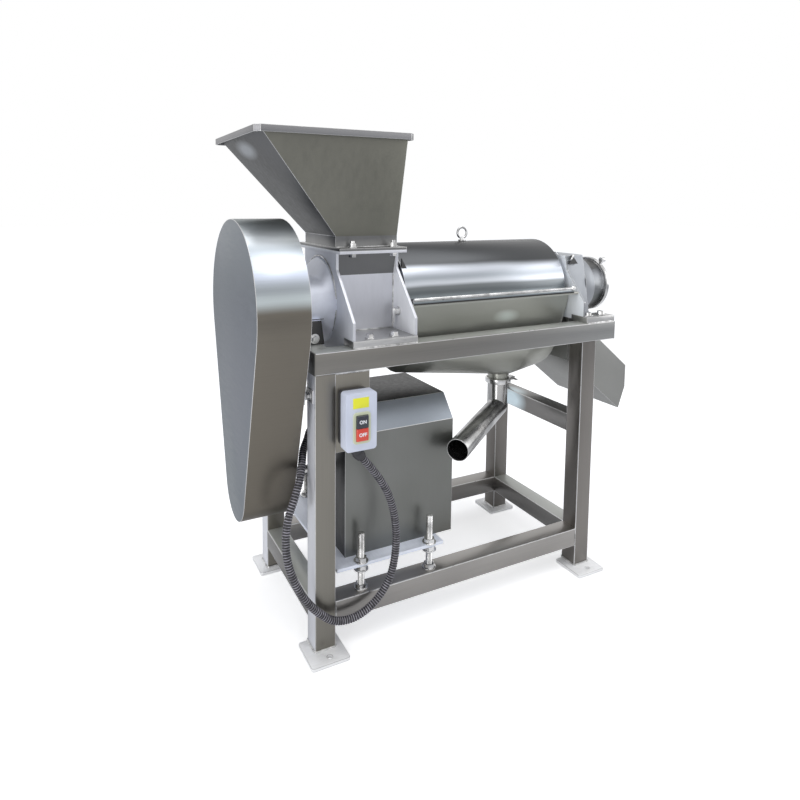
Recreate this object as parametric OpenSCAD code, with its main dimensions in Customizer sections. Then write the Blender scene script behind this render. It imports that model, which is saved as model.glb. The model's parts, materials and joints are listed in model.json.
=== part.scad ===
// Twin auger juicer on a tube frame. Millimetres, +Z up, +X towards the residue chute.
// Modules draw from the front left corner of the frame; place() puts the origin
// on the floor at the centre of the four anchor holes.

/* [Frame] */
// Length of the frame over its posts
frame_l = 1000; // [960:5:1100]
// Width of the frame over its posts
frame_w = 500; // [480:5:560]
// Height of the top beams above the floor
frame_h = 840; // [820:5:900]
// Outer size of the square tube
tube = 60; // [54:1:64]
// Wall of the square tube
tube_wall = 3; // [2:0.5:5]
// Length of the top beams past the right posts
beam_over = 85; // [75:1:110]
// Top of the low beams above the floor
low_h = 140; // [125:1:150]
// Top of the right cross beam above the floor
cross_h = 522; // [470:1:560]

/* [Feet] */
// Side of a square foot plate
foot_side = 112; // [105:1:125]
// Thickness of a foot plate
foot_t = 10; // [6:1:14]
// Radius of an anchor hole
foot_hole_r = 8; // [5:0.5:9]
// Anchor hole in front of the frame's front face
foot_hole_front = 30; // [26:1:34]
// Anchor hole behind the frame's rear face
foot_hole_rear = 14; // [12:1:16]

/* [Augers and drive] */
// Distance between the two auger axes
auger_spacing = 120; // [118:1:122]
// Height of the auger axes above the top beams
auger_rise = 105; // [102:1:115]
// Outer radius of a flight
auger_r = 44; // [40:0.5:45]
// Thickness of a flight
flight_t = 8; // [5:0.5:10]
// Pitch of a flight
flight_pitch = 110; // [90:1:140]
// Radius of the auger core
core_r = 24; // [22:0.5:28]
// Radius of the auger shafts
shaft_r = 20; // [16:0.5:21]
// Running clearance of a shaft in its bearing
run_gap = 0.05; // [0.02:0.01:0.1]
// Clearance of an auger in its bore
auger_gap = 2.5; // [1.5:0.5:3]
// Teeth of each timing gear
gear_teeth = 20; // [16:4:24]
// Width of a timing gear
gear_w = 36; // [20:1:40]
// Radius of the auger pulley
big_pulley_r = 200; // [180:1:205]
// Radius of the motor pulley
small_pulley_r = 50; // [45:1:60]
// Number of belts
belt_count = 3; // [2:1:4]
// Height of the motor shaft above the floor
motor_z = 443; // [435:1:455]

/* [Belt guard] */
// Radius of the guard round the auger pulley
guard_top_r = 243; // [232:1:245]
// Radius of the guard round the motor pulley
guard_low_r = 102; // [92:1:104]
// Depth of the guard
guard_d = 141; // [130:1:160]
// Gap between the guard and the frame
guard_gap = 27; // [26:1:30]
// Sheet of the guard
guard_t = 3; // [1.5:0.5:4]

/* [Feed housing] */
// Outer face of the left yoke plate, from the frame's left face
feed_x = 113; // [110:1:120]
// Width of the feed housing over its yoke plates
feed_w = 201; // [190:1:215]
// Thickness of a yoke plate
yoke_t = 8; // [5:1:12]
// Height of the hopper joint above the top beams
joint_rise = 258; // [250:1:280]
// Thickness of each joint flange
joint_t = 8; // [5:1:10]
// Half the width of the feed housing over its panels
panel_half = 110; // [108:1:116]

/* [Hopper] */
// Height of the hopper wall above the joint
hopper_h = 317; // [260:1:400]
// Reach of the mouth to the left of the feed housing
mouth_left = 244; // [200:1:280]
// Set-back of the mouth's right wall from the feed housing's right side
mouth_right = 18; // [5:1:40]
// Set-back of the mouth's front wall from the frame's front face
mouth_front = 38; // [25:1:70]
// Sheet of the hopper
hopper_t = 3; // [2:0.5:4]
// Width of the rim's lip
rim_lip = 15; // [10:1:25]
// Height of the rim's skirt
rim_h = 18; // [12:1:25]

/* [Hood and tank] */
// Outer radius of the hood
hood_r = 162; // [150:1:165]
// Sheet of hood and tank
shell_t = 3; // [2:0.5:4]
// Gap between the hood and the end yoke plate
hood_end_gap = 20; // [15:1:30]
// Width of the side flange
flange_w = 46; // [35:1:48]
// Thickness of each side flange
flange_t = 8; // [5:1:10]
// Depth of the tank's bottom under the auger axes at its left end
tank_left_d = 255; // [240:1:270]
// Depth of the tank's bottom under the auger axes at the outlet
tank_low_d = 312; // [300:1:320]
// Place of the outlet, before the end yoke plate
outlet_back = 165; // [150:1:190]

/* [End housing and chute] */
// Left face of the end yoke plate, before the frame's right face
end_back = 40; // [32:1:44]
// Width of the end box with its yoke plate
end_box_w = 80; // [76:1:92]
// Outer radius of the end drum
drum_r = 88; // [84:1:92]
// Length of the drum with its ring
drum_l = 112; // [100:1:130]
// Front side of the chute, from the frame's front face
chute_in = 95; // [85:1:100]
// Reach of the chute's mouth past the end box
chute_out = 214; // [180:1:260]
// Sheet of the chute
chute_t = 3; // [2:0.5:4]

/* [Juice outlet] */
// Outer radius of the outlet pipe
pipe_r = 34; // [28:0.5:36]
// Wall of the outlet pipe
pipe_t = 2; // [1.5:0.5:3]

/* [Motor] */
// Radius of the motor body
motor_r = 115; // [105:1:118]
// Left face of the motor body, from the frame's left face
motor_x = 140; // [135:1:150]
// Length of the motor body
motor_l = 250; // [230:1:260]
// Top of the motor base plate above the floor
base_h = 218; // [210:1:225]
// Thickness of the motor base plate
base_t = 10; // [8:1:14]
// Radius of an adjusting stud
stud_r = 10; // [8:0.5:11]
// Reach of the motor cover in front of the motor axis
cover_reach = 128; // [126:1:130]
// Top of the motor cover above the floor
cover_h = 643; // [635:1:650]
// Sheet of the motor cover
cover_t = 2; // [1.5:0.5:3]

/* [Switch] */
// Width of the switch box
box_w = 90; // [80:1:100]
// Height of the switch box
box_h = 157; // [150:1:170]
// Depth of the switch box's cover
box_d = 35; // [32:1:45]
// Travel of a push button
button_travel = 4; // [2:0.5:5]
// Radius of the corrugated conduit
conduit_r = 11; // [8:0.5:11.5]

/* [Hidden] */
$fn = 48;

// Overrun of a cut past the face that it opens
cut = 2;
// Gap between pieces that may not touch
free_gap = 0.5;

bolt_mid_y = (frame_w + foot_hole_rear - foot_hole_front) / 2;
mid_y = frame_w / 2;
front_y = mid_y - auger_spacing / 2;
rear_y = mid_y + auger_spacing / 2;
axis_z = frame_h + auger_rise;
beam_l = frame_l + beam_over;
end_x = frame_l - end_back;
end_box_x = end_x + end_box_w;
drum_end = end_box_x + drum_l;
chute_reach = end_box_x + chute_out;
hood_end = end_x - hood_end_gap;
outlet_x = end_x - outlet_back;

// The motor stays under the front auger unless the cover would meet the front studs
stud_in = 30;
stud_foot_r = 21;
cover_clear = 11;
motor_y = max(front_y, stud_in + stud_foot_r + cover_clear + cover_reach);
cover_x0 = 115;
cover_x1 = 478;
cover_behind = 172;
cover_in = motor_y - cover_reach;
cover_back = motor_y + cover_behind;

// Colours as the photograph shows them
steel = [0.62, 0.62, 0.6];
pale_steel = [0.72, 0.73, 0.76];
bright = [0.8, 0.81, 0.83];
dark = [0.12, 0.12, 0.13];

module place() {
    translate([-frame_l / 2, -bolt_mid_y, 0]) children();
}

// Extrudes a drawing of the Y-Z plane along X, from x over length l
module along_x(x, l) {
    translate([x, 0, 0]) rotate([90, 0, 90]) linear_extrude(l) children();
}

// Extrudes a drawing of the X-Z plane along Y, from y over length l
module along_y(y, l) {
    translate([0, y + l, 0]) rotate([90, 0, 0]) linear_extrude(l) children();
}

// A cylinder on an axis along X
module rod_x(x, l, r, y, z) {
    translate([x, y, z]) rotate([0, 90, 0]) cylinder(h = l, r = r);
}

module ring_x(x, l, r, bore, y, z) {
    difference() {
        rod_x(x, l, r, y, z);
        rod_x(x - cut, l + 2 * cut, bore, y, z);
    }
}

// Copies a piece to the rear side of the frame as well
module both_sides() {
    children();
    translate([0, frame_w, 0]) mirror([0, 1, 0]) children();
}

module block(low, high) {
    translate(low) cube(high - low);
}

// A hexagon nut or bolt head on a washer, standing on z
nut_r = 12;
nut_h = 10;
washer_r = 14;
washer_h = 3;
module nut_on_washer(x, y, z, stud, stud_h) {
    translate([x, y, z]) {
        cylinder(h = washer_h, r = washer_r);
        cylinder(h = washer_h + nut_h, r = nut_r, $fn = 6);
        cylinder(h = washer_h + nut_h + stud_h, r = stud);
    }
}

// Frame of welded square tube

module tube_z(x, y, z0, z1) {
    color(steel) difference() {
        block([x, y, z0], [x + tube, y + tube, z1]);
        block([x + tube_wall, y + tube_wall, z0 - cut],
              [x + tube - tube_wall, y + tube - tube_wall, z1 + cut]);
    }
}

module tube_x(x0, x1, y, z) {
    color(steel) difference() {
        block([x0, y, z], [x1, y + tube, z + tube]);
        block([x0 - cut, y + tube_wall, z + tube_wall],
              [x1 + cut, y + tube - tube_wall, z + tube - tube_wall]);
    }
}

module tube_y(x, z) {
    color(steel) difference() {
        block([x, tube, z], [x + tube, frame_w - tube, z + tube]);
        block([x + tube_wall, tube - cut, z + tube_wall],
              [x + tube - tube_wall, frame_w - tube + cut, z + tube - tube_wall]);
    }
}

right_post_x = frame_l - tube;
rear_post_y = frame_w - tube;
cap_t = 3;
module post(x, y) tube_z(x, y, foot_t, frame_h - tube);
module post_front_left() post(0, 0);
module post_front_right() post(right_post_x, 0);
module post_rear_left() post(0, rear_post_y);
module post_rear_right() post(right_post_x, rear_post_y);
module top_beam_front() tube_x(cap_t, beam_l - cap_t, 0, frame_h - tube);
module top_beam_rear() tube_x(cap_t, beam_l - cap_t, rear_post_y, frame_h - tube);
module top_cross_left() tube_y(0, frame_h - tube);
module low_beam_front() tube_x(tube, right_post_x, 0, low_h - tube);
module low_beam_rear() tube_x(tube, right_post_x, rear_post_y, low_h - tube);
module low_beam_left() tube_y(0, low_h - tube);
module low_beam_right() tube_y(right_post_x, low_h - tube);
module cross_beam_right() tube_y(right_post_x, cross_h - tube);

module beam_end_caps() {
    color(steel) both_sides() for (x = [0, beam_l - cap_t])
        block([x, 0, frame_h - tube], [x + cap_t, tube, frame_h]);
}

// Foot plates stand out in front of the front posts and a little behind the rear ones
foot_left = 30;
foot_front = 55;
foot_rear = 28;
foot_corner = 8;
module foot_plate(x, y, hole_y) {
    color(bright) difference() {
        translate([x + foot_corner, y + foot_corner, 0]) linear_extrude(foot_t)
            offset(r = foot_corner) square(foot_side - 2 * foot_corner);
        translate([x + foot_left + tube / 2, hole_y, -cut])
            cylinder(h = foot_t + 2 * cut, r = foot_hole_r);
    }
}

module foot_plates() {
    for (x = [-foot_left, right_post_x - foot_left]) {
        foot_plate(x, -foot_front, -foot_hole_front);
        foot_plate(x, frame_w + foot_rear - foot_side, frame_w + foot_hole_rear);
    }
}

// Drive: guard, belts, pulleys, gears and shafts

guard_x = -guard_gap - guard_d;

// An arc of points round a centre in the Y-Z plane
arc_step = 6;
function arc_at(y, z, r, from, to) = let (n = ceil((to - from) / arc_step))
    [for (i = [0:n]) let (a = from + (to - from) * i / n) [y + r * cos(a), z + r * sin(a)]];

// Two arcs, one above the other, joined by their outer tangents
module egg(top_r, low_r) {
    tilt = atan2(motor_y - front_y, axis_z - motor_z);
    lean = asin((top_r - low_r) / norm([motor_y - front_y, axis_z - motor_z]));
    polygon(concat(arc_at(front_y, axis_z, top_r, tilt - lean, tilt + 180 + lean),
                   arc_at(motor_y, motor_z, low_r, tilt + 180 + lean, tilt + 360 - lean)));
}

module belt_guard() {
    color(steel) difference() {
        along_x(guard_x, guard_d) egg(guard_top_r, guard_low_r);
        along_x(guard_x + guard_t, guard_d) egg(guard_top_r - guard_t, guard_low_r - guard_t);
    }
}

shaft_hole_gap = 6;
module guard_back_plate() {
    inset = guard_t + free_gap / 2;
    color(pale_steel) difference() {
        along_x(-guard_gap - guard_t, guard_t) egg(guard_top_r - inset, guard_low_r - inset);
        rod_x(-guard_gap - guard_t - cut, guard_t + 2 * cut, shaft_r + shaft_hole_gap, front_y, axis_z);
        rod_x(-guard_gap - guard_t - cut, guard_t + 2 * cut, motor_shaft_r + shaft_hole_gap,
              motor_y, motor_z);
    }
}

bracket_t = 4;
bracket_h = 36;
bracket_w = 40;
bracket_in = 10;
bracket_drop = 100;
// A folded bracket between the guard's back plate and the frame, open to the front
module guard_bracket(y, z) {
    difference() {
        block([-guard_gap, y, z], [0, y + bracket_w, z + bracket_h]);
        block([-guard_gap + bracket_t, y - cut, z - cut],
              [-bracket_t, y + bracket_w - bracket_t, z + bracket_h + cut]);
    }
}

module guard_brackets() {
    color(bright) {
        guard_bracket(bracket_in, frame_h - bracket_drop - bracket_h);
        for (y = [front_y - bracket_w, mid_y])
            guard_bracket(y, frame_h - tube / 2 - bracket_h / 2);
    }
}

motor_shaft_r = 14;
groove_pitch = 20;
groove_d = 12;
groove_w = 15;
pulley_w = belt_count * groove_pitch + groove_pitch - groove_w;
pulley_x = guard_x + (guard_d - pulley_w) / 2;
function groove_x(i) = (i + 1) * groove_pitch - groove_w;

// A pulley turned as one piece, with a groove for each belt
module pulley(r, bore, y, z) {
    color(dark) translate([pulley_x, y, z]) rotate([90, 0, 90]) rotate_extrude()
        difference() {
            translate([bore, 0]) square([r - bore, pulley_w]);
            for (i = [0:belt_count - 1])
                translate([r - groove_d, groove_x(i)]) square([groove_d + cut, groove_w]);
        }
}
module auger_pulley() pulley(big_pulley_r, shaft_r, front_y, axis_z);
module motor_pulley() pulley(small_pulley_r, motor_shaft_r, motor_y, motor_z);

belt_t = 9;
belt_side_gap = 1;
module v_belts() {
    in_big = big_pulley_r - groove_d + free_gap;
    in_small = small_pulley_r - groove_d + free_gap;
    color(dark) for (i = [0:belt_count - 1])
        along_x(pulley_x + groove_x(i) + belt_side_gap, groove_w - 2 * belt_side_gap)
            difference() {
                egg(in_big + belt_t, in_small + belt_t);
                egg(in_big, in_small);
            }
}

// Gear case between the guard and the feed housing, on a foot that spans the cross beam
case_r = 72;
case_foot_x = 10;
case_foot_w = 56;
case_foot_in = 96;
case_foot_top = 118;
case_foot_h = 63;
case_x = 2;
case_wall = 5;
seat_t = 24;
dish_r = 128;
dish_x = 78;
dish_rim_t = 5;
dish_drop = 5;
bearing_r = 40;
module twin(r) {
    for (y = [front_y, rear_y]) translate([y, axis_z]) circle(r);
}
module stadium(r) {
    twin(r);
    translate([front_y, axis_z - r]) square([auger_spacing, 2 * r]);
}

// The dish widens from the case to a round rim on the left yoke
module case_dish() {
    hull() {
        along_x(dish_x, slice) stadium(case_r);
        rod_x(feed_x - dish_rim_t - slice, slice, dish_r, mid_y, axis_z - dish_drop);
    }
    rod_x(feed_x - dish_rim_t - slice, dish_rim_t + slice, dish_r, mid_y, axis_z - dish_drop);
}
module gear_case() {
    color(pale_steel) difference() {
        union() {
            along_x(case_x, feed_x - case_x) stadium(case_r);
            case_dish();
            along_x(case_foot_x, case_foot_w) polygon([
                [case_foot_in, frame_h], [case_foot_top, frame_h + case_foot_h],
                [frame_w - case_foot_top, frame_h + case_foot_h], [frame_w - case_foot_in, frame_h]]);
        }
        along_x(case_x + seat_t, feed_x - case_x - seat_t - case_wall) stadium(case_r - case_wall);
        along_x(case_x - cut, seat_t + 2 * cut) twin(bearing_r);
        along_x(feed_x - case_wall - cut, case_wall + 2 * cut) twin(shaft_r + shaft_hole_gap);
    }
}

gear_in = 16;
gear_x = case_x + seat_t + gear_in;
gear_pitch_r = auger_spacing / 2;
tooth_h = 5;
tooth_clear = 1.4;
tooth_sink = 1;
tooth_half = 360 / gear_teeth / 4;
root_share = 1.24;
pitch_share = 0.82;
tip_share = 0.5;
module gear_outline(turn) {
    root_r = gear_pitch_r - tooth_h - tooth_clear;
    in_r = root_r - tooth_sink;
    tip_r = gear_pitch_r + tooth_h;
    in_half = tooth_half * root_share;
    pitch_half = tooth_half * pitch_share;
    tip_half = tooth_half * tip_share;
    difference() {
        union() {
            circle(root_r);
            for (i = [0:gear_teeth - 1]) rotate(i * 360 / gear_teeth + turn) polygon([
                [in_r * cos(in_half), -in_r * sin(in_half)],
                [gear_pitch_r * cos(pitch_half), -gear_pitch_r * sin(pitch_half)],
                [tip_r * cos(tip_half), -tip_r * sin(tip_half)],
                [tip_r * cos(tip_half), tip_r * sin(tip_half)],
                [gear_pitch_r * cos(pitch_half), gear_pitch_r * sin(pitch_half)],
                [in_r * cos(in_half), in_r * sin(in_half)]]);
        }
        circle(shaft_r);
    }
}
module timing_gear_front() {
    color(steel) along_x(gear_x, gear_w) translate([front_y, axis_z]) gear_outline(0);
}
module timing_gear_rear() {
    color(steel) along_x(gear_x, gear_w) translate([rear_y, axis_z])
        gear_outline(180 + 180 / gear_teeth);
}

bearing_w = 23;
bearing_fit = 0.03;
module shaft_bearing(x, y) {
    ring_x(x, bearing_w, bearing_r - bearing_fit, shaft_r + run_gap, y, axis_z);
}
module shaft_bearings() {
    color(bright) for (y = [front_y, rear_y]) {
        shaft_bearing(case_x, y);
        shaft_bearing(end_box_x - seat_t, y);
    }
}

flight_in = 9;
flight_out = 15;
flight_x = feed_x + yoke_t + flight_in;
flight_end = hood_end - flight_out;
core_over = 4;
shaft_over = 50;
shaft_stub = 6;
shaft_inset = 1;
module auger_shaft(x0, x1, y) {
    rod_x(x0, x1 - x0, shaft_r, y, axis_z);
    rod_x(flight_x - core_over, flight_end - flight_x + 2 * core_over, core_r, y, axis_z);
}
collar_r = 45;
collar_w = 20;
collar_gap = 4;
module auger_shaft_front() {
    color(bright) {
        auger_shaft(pulley_x - shaft_stub, end_box_x + shaft_over, front_y);
        rod_x(end_box_x + collar_gap, collar_w, collar_r, front_y, axis_z);
    }
}
module auger_shaft_rear() {
    color(bright) auger_shaft(case_x + shaft_inset, end_box_x - shaft_inset, rear_y);
}

// A helical flight as one swept strip: four corners a ring, steps rings a turn
flight_steps = 16;
flight_sink = 0.5;
function flight_ring(i, hand) = let (
        a = i * 360 / flight_steps,
        x = flight_x + i * flight_pitch / flight_steps,
        in_r = core_r - flight_sink)
    [for (c = [[in_r, 0], [auger_r, 0], [auger_r, flight_t], [in_r, flight_t]])
        [x + c[1], hand * c[0] * cos(a), c[0] * sin(a)]];
module auger_flight(y, hand) {
    n = floor((flight_end - flight_t - flight_x) / flight_pitch * flight_steps);
    points = [for (i = [0:n]) each flight_ring(i, hand)];
    sides = [for (i = [0:n - 1], k = [0:3])
        let (a = 4 * i + k, b = 4 * i + (k + 1) % 4) each [[a, b, b + 4], [a, b + 4, a + 4]]];
    ends = [[0, 2, 1], [0, 3, 2], [4 * n, 4 * n + 1, 4 * n + 2], [4 * n, 4 * n + 2, 4 * n + 3]];
    faces = concat(sides, ends);
    turned = hand > 0 ? faces : [for (f = faces) [f[2], f[1], f[0]]];
    color(bright) translate([0, y, axis_z]) polyhedron(points, turned);
}
module auger_flight_front() auger_flight(front_y, 1);
module auger_flight_rear() auger_flight(rear_y, -1);

// Yokes: upright plates on base plates that carry the barrel between the beams

pad_t = 8;
plate_t = 12;
yoke_z = frame_h + pad_t + plate_t;
yoke_in = 8;
yoke_rise = 70;
shoulder_half = 126;
shoulder_rise = 203;
shoulder_in = mid_y - shoulder_half;
apron_in = 74;
apron_drop = 14;
skirt_drop = 65;
skirt_gap = 0.3;
module yoke(foot_in, foot_rise, neck_in, neck_rise, top_in, top_z) {
    polygon([[foot_in, yoke_z], [foot_in, frame_h + foot_rise], [neck_in, frame_h + neck_rise],
             [top_in, top_z], [frame_w - top_in, top_z], [frame_w - neck_in, frame_h + neck_rise],
             [frame_w - foot_in, frame_h + foot_rise], [frame_w - foot_in, yoke_z]]);
    translate([apron_in, yoke_z - apron_drop]) square([frame_w - 2 * apron_in, 2 * apron_drop]);
}
module feed_yoke() {
    yoke(yoke_in, yoke_rise, shoulder_in, shoulder_rise, shoulder_in, joint_z - joint_t);
}

base_w = 60;
base_over = 4;
module base_plate(x0, x1) {
    color(bright) both_sides() {
        block([x0, yoke_in - base_over, frame_h], [x1, yoke_in + base_w, frame_h + pad_t]);
        block([x0, yoke_in - base_over, frame_h + pad_t], [x1, yoke_in + base_w, yoke_z]);
    }
}
feed_end = feed_x + feed_w;
module feed_base_plates() {
    base_plate(feed_x, feed_end);
    color(bright) both_sides() block([feed_x + yoke_t, yoke_in + base_w, frame_h + pad_t],
                                     [feed_end - yoke_t, mid_y - panel_half + wall_t, yoke_z]);
}
module end_base_plates() base_plate(end_x, beam_l);

joint_z = frame_h + joint_rise;
joint_half = 166;
joint_in = mid_y - joint_half;
joint_over = 6;
throat_half = 122;
throat_in = mid_y - throat_half;
panel_in = mid_y - panel_half;
throat_lip = 6;
throat_drop = 73;
wall_t = 4;
floor_t = 6;
module joint_flange(z) {
    difference() {
        block([feed_x - joint_over, joint_in, z], [feed_end + joint_over, frame_w - joint_in, z + joint_t]);
        block([feed_x + yoke_t, throat_in + throat_lip, z - cut],
              [feed_end - yoke_t, frame_w - throat_in - throat_lip, z + joint_t + cut]);
    }
}

// One panel of the housing's front: upright, then leaning out to the joint
module housing_panel() {
    top = joint_z - joint_t;
    bend = joint_z - throat_drop;
    along_x(feed_x + yoke_t, feed_w - 2 * yoke_t) polygon([
        [panel_in, yoke_z], [panel_in, bend], [throat_in - wall_t, top],
        [throat_in, top], [panel_in + wall_t, bend], [panel_in + wall_t, yoke_z]]);
}

// The left yoke plate hangs down between the two beams
module feed_skirt() {
    in = yoke_in + base_w + skirt_gap;
    block([feed_x, in, yoke_z - skirt_drop], [feed_x + yoke_t, frame_w - in, yoke_z]);
}

module feed_housing() {
    color(pale_steel) {
        difference() {
            along_x(feed_x, yoke_t) feed_yoke();
            along_x(feed_x - cut, yoke_t + 2 * cut) twin(shaft_r + shaft_hole_gap);
        }
        feed_skirt();
        difference() {
            along_x(feed_end - yoke_t, yoke_t) feed_yoke();
            along_x(feed_end - yoke_t - cut, yoke_t + 2 * cut) twin(auger_r + auger_gap);
        }
        both_sides() housing_panel();
        block([feed_x + yoke_t, panel_in + wall_t, yoke_z],
              [feed_end - yoke_t, frame_w - panel_in - wall_t, yoke_z + floor_t]);
        joint_flange(joint_z - joint_t);
    }
}

lock_half = 145;
lock_in = mid_y - lock_half;
lock_rise = 75;
lock_lever_l = 34;
lock_lever_w = 9;
module lock_bolts() {
    z = frame_h + lock_rise;
    x = feed_end - yoke_t;
    color(bright) both_sides() {
        rod_x(x - washer_h, washer_h, washer_r, lock_in, z);
        translate([x - washer_h, lock_in, z]) rotate([0, -90, 0]) cylinder(h = nut_h, r = nut_r, $fn = 6);
        block([x - washer_h - nut_h - lock_lever_w, lock_in - lock_lever_w / 2, z - lock_lever_l],
              [x - washer_h - nut_h, lock_in + lock_lever_w / 2, z + lock_lever_w]);
    }
}

// Hopper: four flat walls that spread to a folded rim

// A block whose top rectangle differs from its bottom one
module frustum(b0, b1, t0, t1) {
    polyhedron([b0, [b1[0], b0[1], b0[2]], [b1[0], b1[1], b0[2]], [b0[0], b1[1], b0[2]],
                t0, [t1[0], t0[1], t0[2]], [t1[0], t1[1], t0[2]], [t0[0], t1[1], t0[2]]],
               [[0, 1, 2, 3], [4, 7, 6, 5], [0, 4, 5, 1], [1, 5, 6, 2], [2, 6, 7, 3], [3, 7, 4, 0]]);
}

hopper_z = joint_z + joint_t;
mouth_z = hopper_z + hopper_h;
mouth_x0 = feed_x - mouth_left;
mouth_x1 = feed_end - mouth_right;
hopper_foot_in = 3;
hopper_foot_x1 = feed_end - hopper_foot_in;
hopper_neck_h = 32;
flare_z = hopper_z + hopper_neck_h;
module hopper_body(inset, over) {
    share = over / (mouth_z - flare_z);
    left = mouth_left * share;
    right = (mouth_right - hopper_foot_in) * share;
    front = (throat_in - mouth_front) * share;
    foot0 = [feed_x + inset, throat_in + inset, flare_z];
    foot1 = [hopper_foot_x1 - inset, frame_w - throat_in - inset, flare_z];
    block([foot0[0], foot0[1], hopper_z - over], foot1);
    frustum(foot0, foot1,
            [mouth_x0 - left + inset, mouth_front - front + inset, mouth_z + over],
            [mouth_x1 - right - inset, frame_w - mouth_front + front - inset, mouth_z + over]);
}
module hopper() {
    color(steel) {
        difference() {
            hopper_body(0, 0);
            hopper_body(hopper_t, cut);
        }
        joint_flange(joint_z);
    }
}

rim_corner = 14;
module rim_outline(grow, corner) {
    x0 = mouth_x0 - grow;
    x1 = mouth_x1 + grow;
    y0 = mouth_front - grow;
    y1 = frame_w - mouth_front + grow;
    polygon([[x0 + corner, y0], [x1 - corner, y0], [x1, y0 + corner], [x1, y1 - corner],
             [x1 - corner, y1], [x0 + corner, y1], [x0, y1 - corner], [x0, y0 + corner]]);
}
module hopper_rim() {
    color(bright) {
        translate([0, 0, mouth_z]) linear_extrude(hopper_t) difference() {
            rim_outline(rim_lip, rim_corner);
            rim_outline(-hopper_t, 0);
        }
        translate([0, 0, mouth_z + hopper_t - rim_h]) linear_extrude(rim_h - hopper_t) difference() {
            rim_outline(rim_lip, rim_corner);
            rim_outline(rim_lip - hopper_t, rim_corner);
        }
    }
}

bolt_r = 6;
bolt_over = 7;
hopper_bolt_in = 20;
hopper_bolt_shares = [0.21, 0.86];
module hopper_bolts() {
    color(bright) both_sides() for (s = hopper_bolt_shares) {
        x = feed_x + s * feed_w;
        y = joint_in + hopper_bolt_in;
        nut_on_washer(x, y, hopper_z, bolt_r, bolt_over);
        translate([x, y, joint_z - joint_t - nut_h]) cylinder(h = nut_h, r = nut_r, $fn = 6);
    }
}

base_bolt_in = 28;
feed_bolt_shares = [0.28, 0.7];
end_bolt_shares = [0.17, 0.72];
module base_bolt_row(x0, x1, shares) {
    for (s = shares)
        nut_on_washer(x0 + s * (x1 - x0), base_bolt_in, yoke_z, bolt_r, 0);
}
module base_bolts() {
    color(bright) both_sides() {
        base_bolt_row(feed_x + yoke_t, feed_end - yoke_t, feed_bolt_shares);
        base_bolt_row(end_x + yoke_t, beam_l - yoke_t, end_bolt_shares);
    }
}

// Hood, hinge, screen and tank

seam_drop = 4;
seam_z = axis_z - seam_drop;
hood_gap = 2;
hood_x = feed_end + joint_over + hood_gap;
flange_in = mid_y - hood_r - flange_w + shell_t;
module hood_half(x0, x1, r) {
    difference() {
        rod_x(x0, x1 - x0, r, mid_y, axis_z);
        block([x0 - cut, 0, 0], [x1 + cut, frame_w, seam_z]);
    }
}
module hood() {
    color(steel) {
        difference() {
            hood_half(hood_x, hood_end, hood_r);
            hood_half(hood_x + shell_t, hood_end - shell_t, hood_r - shell_t);
            along_x(hood_x - cut, hood_end - hood_x + 2 * cut) twin(auger_r + auger_gap);
        }
        both_sides() block([hood_x, flange_in, seam_z],
                           [hood_end, mid_y - hood_r + shell_t, seam_z + flange_t]);
    }
}

eye_in = 306;
eye_x = hood_x + eye_in;
eye_r = 18;
eye_wire = 4;
eye_stem = 10;
eye_stem_r = 6.4;
eye_foot_r = 13;
eye_foot_h = 5;
module lifting_eye() {
    z = axis_z + hood_r;
    color(bright) translate([eye_x, mid_y, z]) {
        cylinder(h = eye_foot_h, r = eye_foot_r);
        cylinder(h = eye_stem, r = eye_stem_r);
        translate([0, 0, eye_stem + eye_r]) rotate([90, 0, 0])
            rotate_extrude() translate([eye_r, 0]) circle(eye_wire);
    }
}

knuckle_r = 9;
pin_r = 5;
knuckle_l = 28;
knuckle_gap = 0.4;
knuckle_clear = 1;
hinge_y = frame_w - flange_in + knuckle_r + knuckle_clear;
hinge_shares = [0.15, 0.85];
leaf_t = 4;
function hinge_x(s) = hood_x + s * (hood_end - hood_x);
module knuckle(x, up) {
    leaf_z = up ? seam_z + free_gap : seam_z - flange_t - leaf_t / 2;
    difference() {
        union() {
            rod_x(x, knuckle_l, knuckle_r, hinge_y, seam_z);
            block([x, frame_w - flange_in, leaf_z], [x + knuckle_l, hinge_y, leaf_z + leaf_t]);
        }
        rod_x(x - cut, knuckle_l + 2 * cut, pin_r + run_gap, hinge_y, seam_z);
    }
}
module hood_knuckles() {
    color(bright) for (s = hinge_shares) knuckle(hinge_x(s) + knuckle_gap / 2, true);
}
module tank_knuckles() {
    color(bright) for (s = hinge_shares) knuckle(hinge_x(s) - knuckle_gap / 2 - knuckle_l, false);
}
module hinge_pins() {
    color(bright) for (s = hinge_shares)
        rod_x(hinge_x(s) - knuckle_l - knuckle_gap, 2 * (knuckle_l + knuckle_gap), pin_r, hinge_y, seam_z);
}

screen_t = 2;
screen_x0 = feed_end;
screen_x1 = end_x;
drain_r = 4;
drain_pitch = 48;
drain_rows = 3;
module juice_screen() {
    in_r = auger_r + auger_gap;
    color(bright) difference() {
        along_x(screen_x0, screen_x1 - screen_x0) difference() {
            twin(in_r + screen_t);
            twin(in_r);
            translate([0, seam_z - free_gap]) square([frame_w, 2 * hood_r]);
        }
        for (y = [front_y, rear_y], x = [screen_x0 + drain_pitch : drain_pitch : screen_x1 - drain_pitch])
            translate([x, y, axis_z - in_r - screen_t - cut]) cylinder(h = screen_t + 2 * cut, r = drain_r);
    }
}

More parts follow.
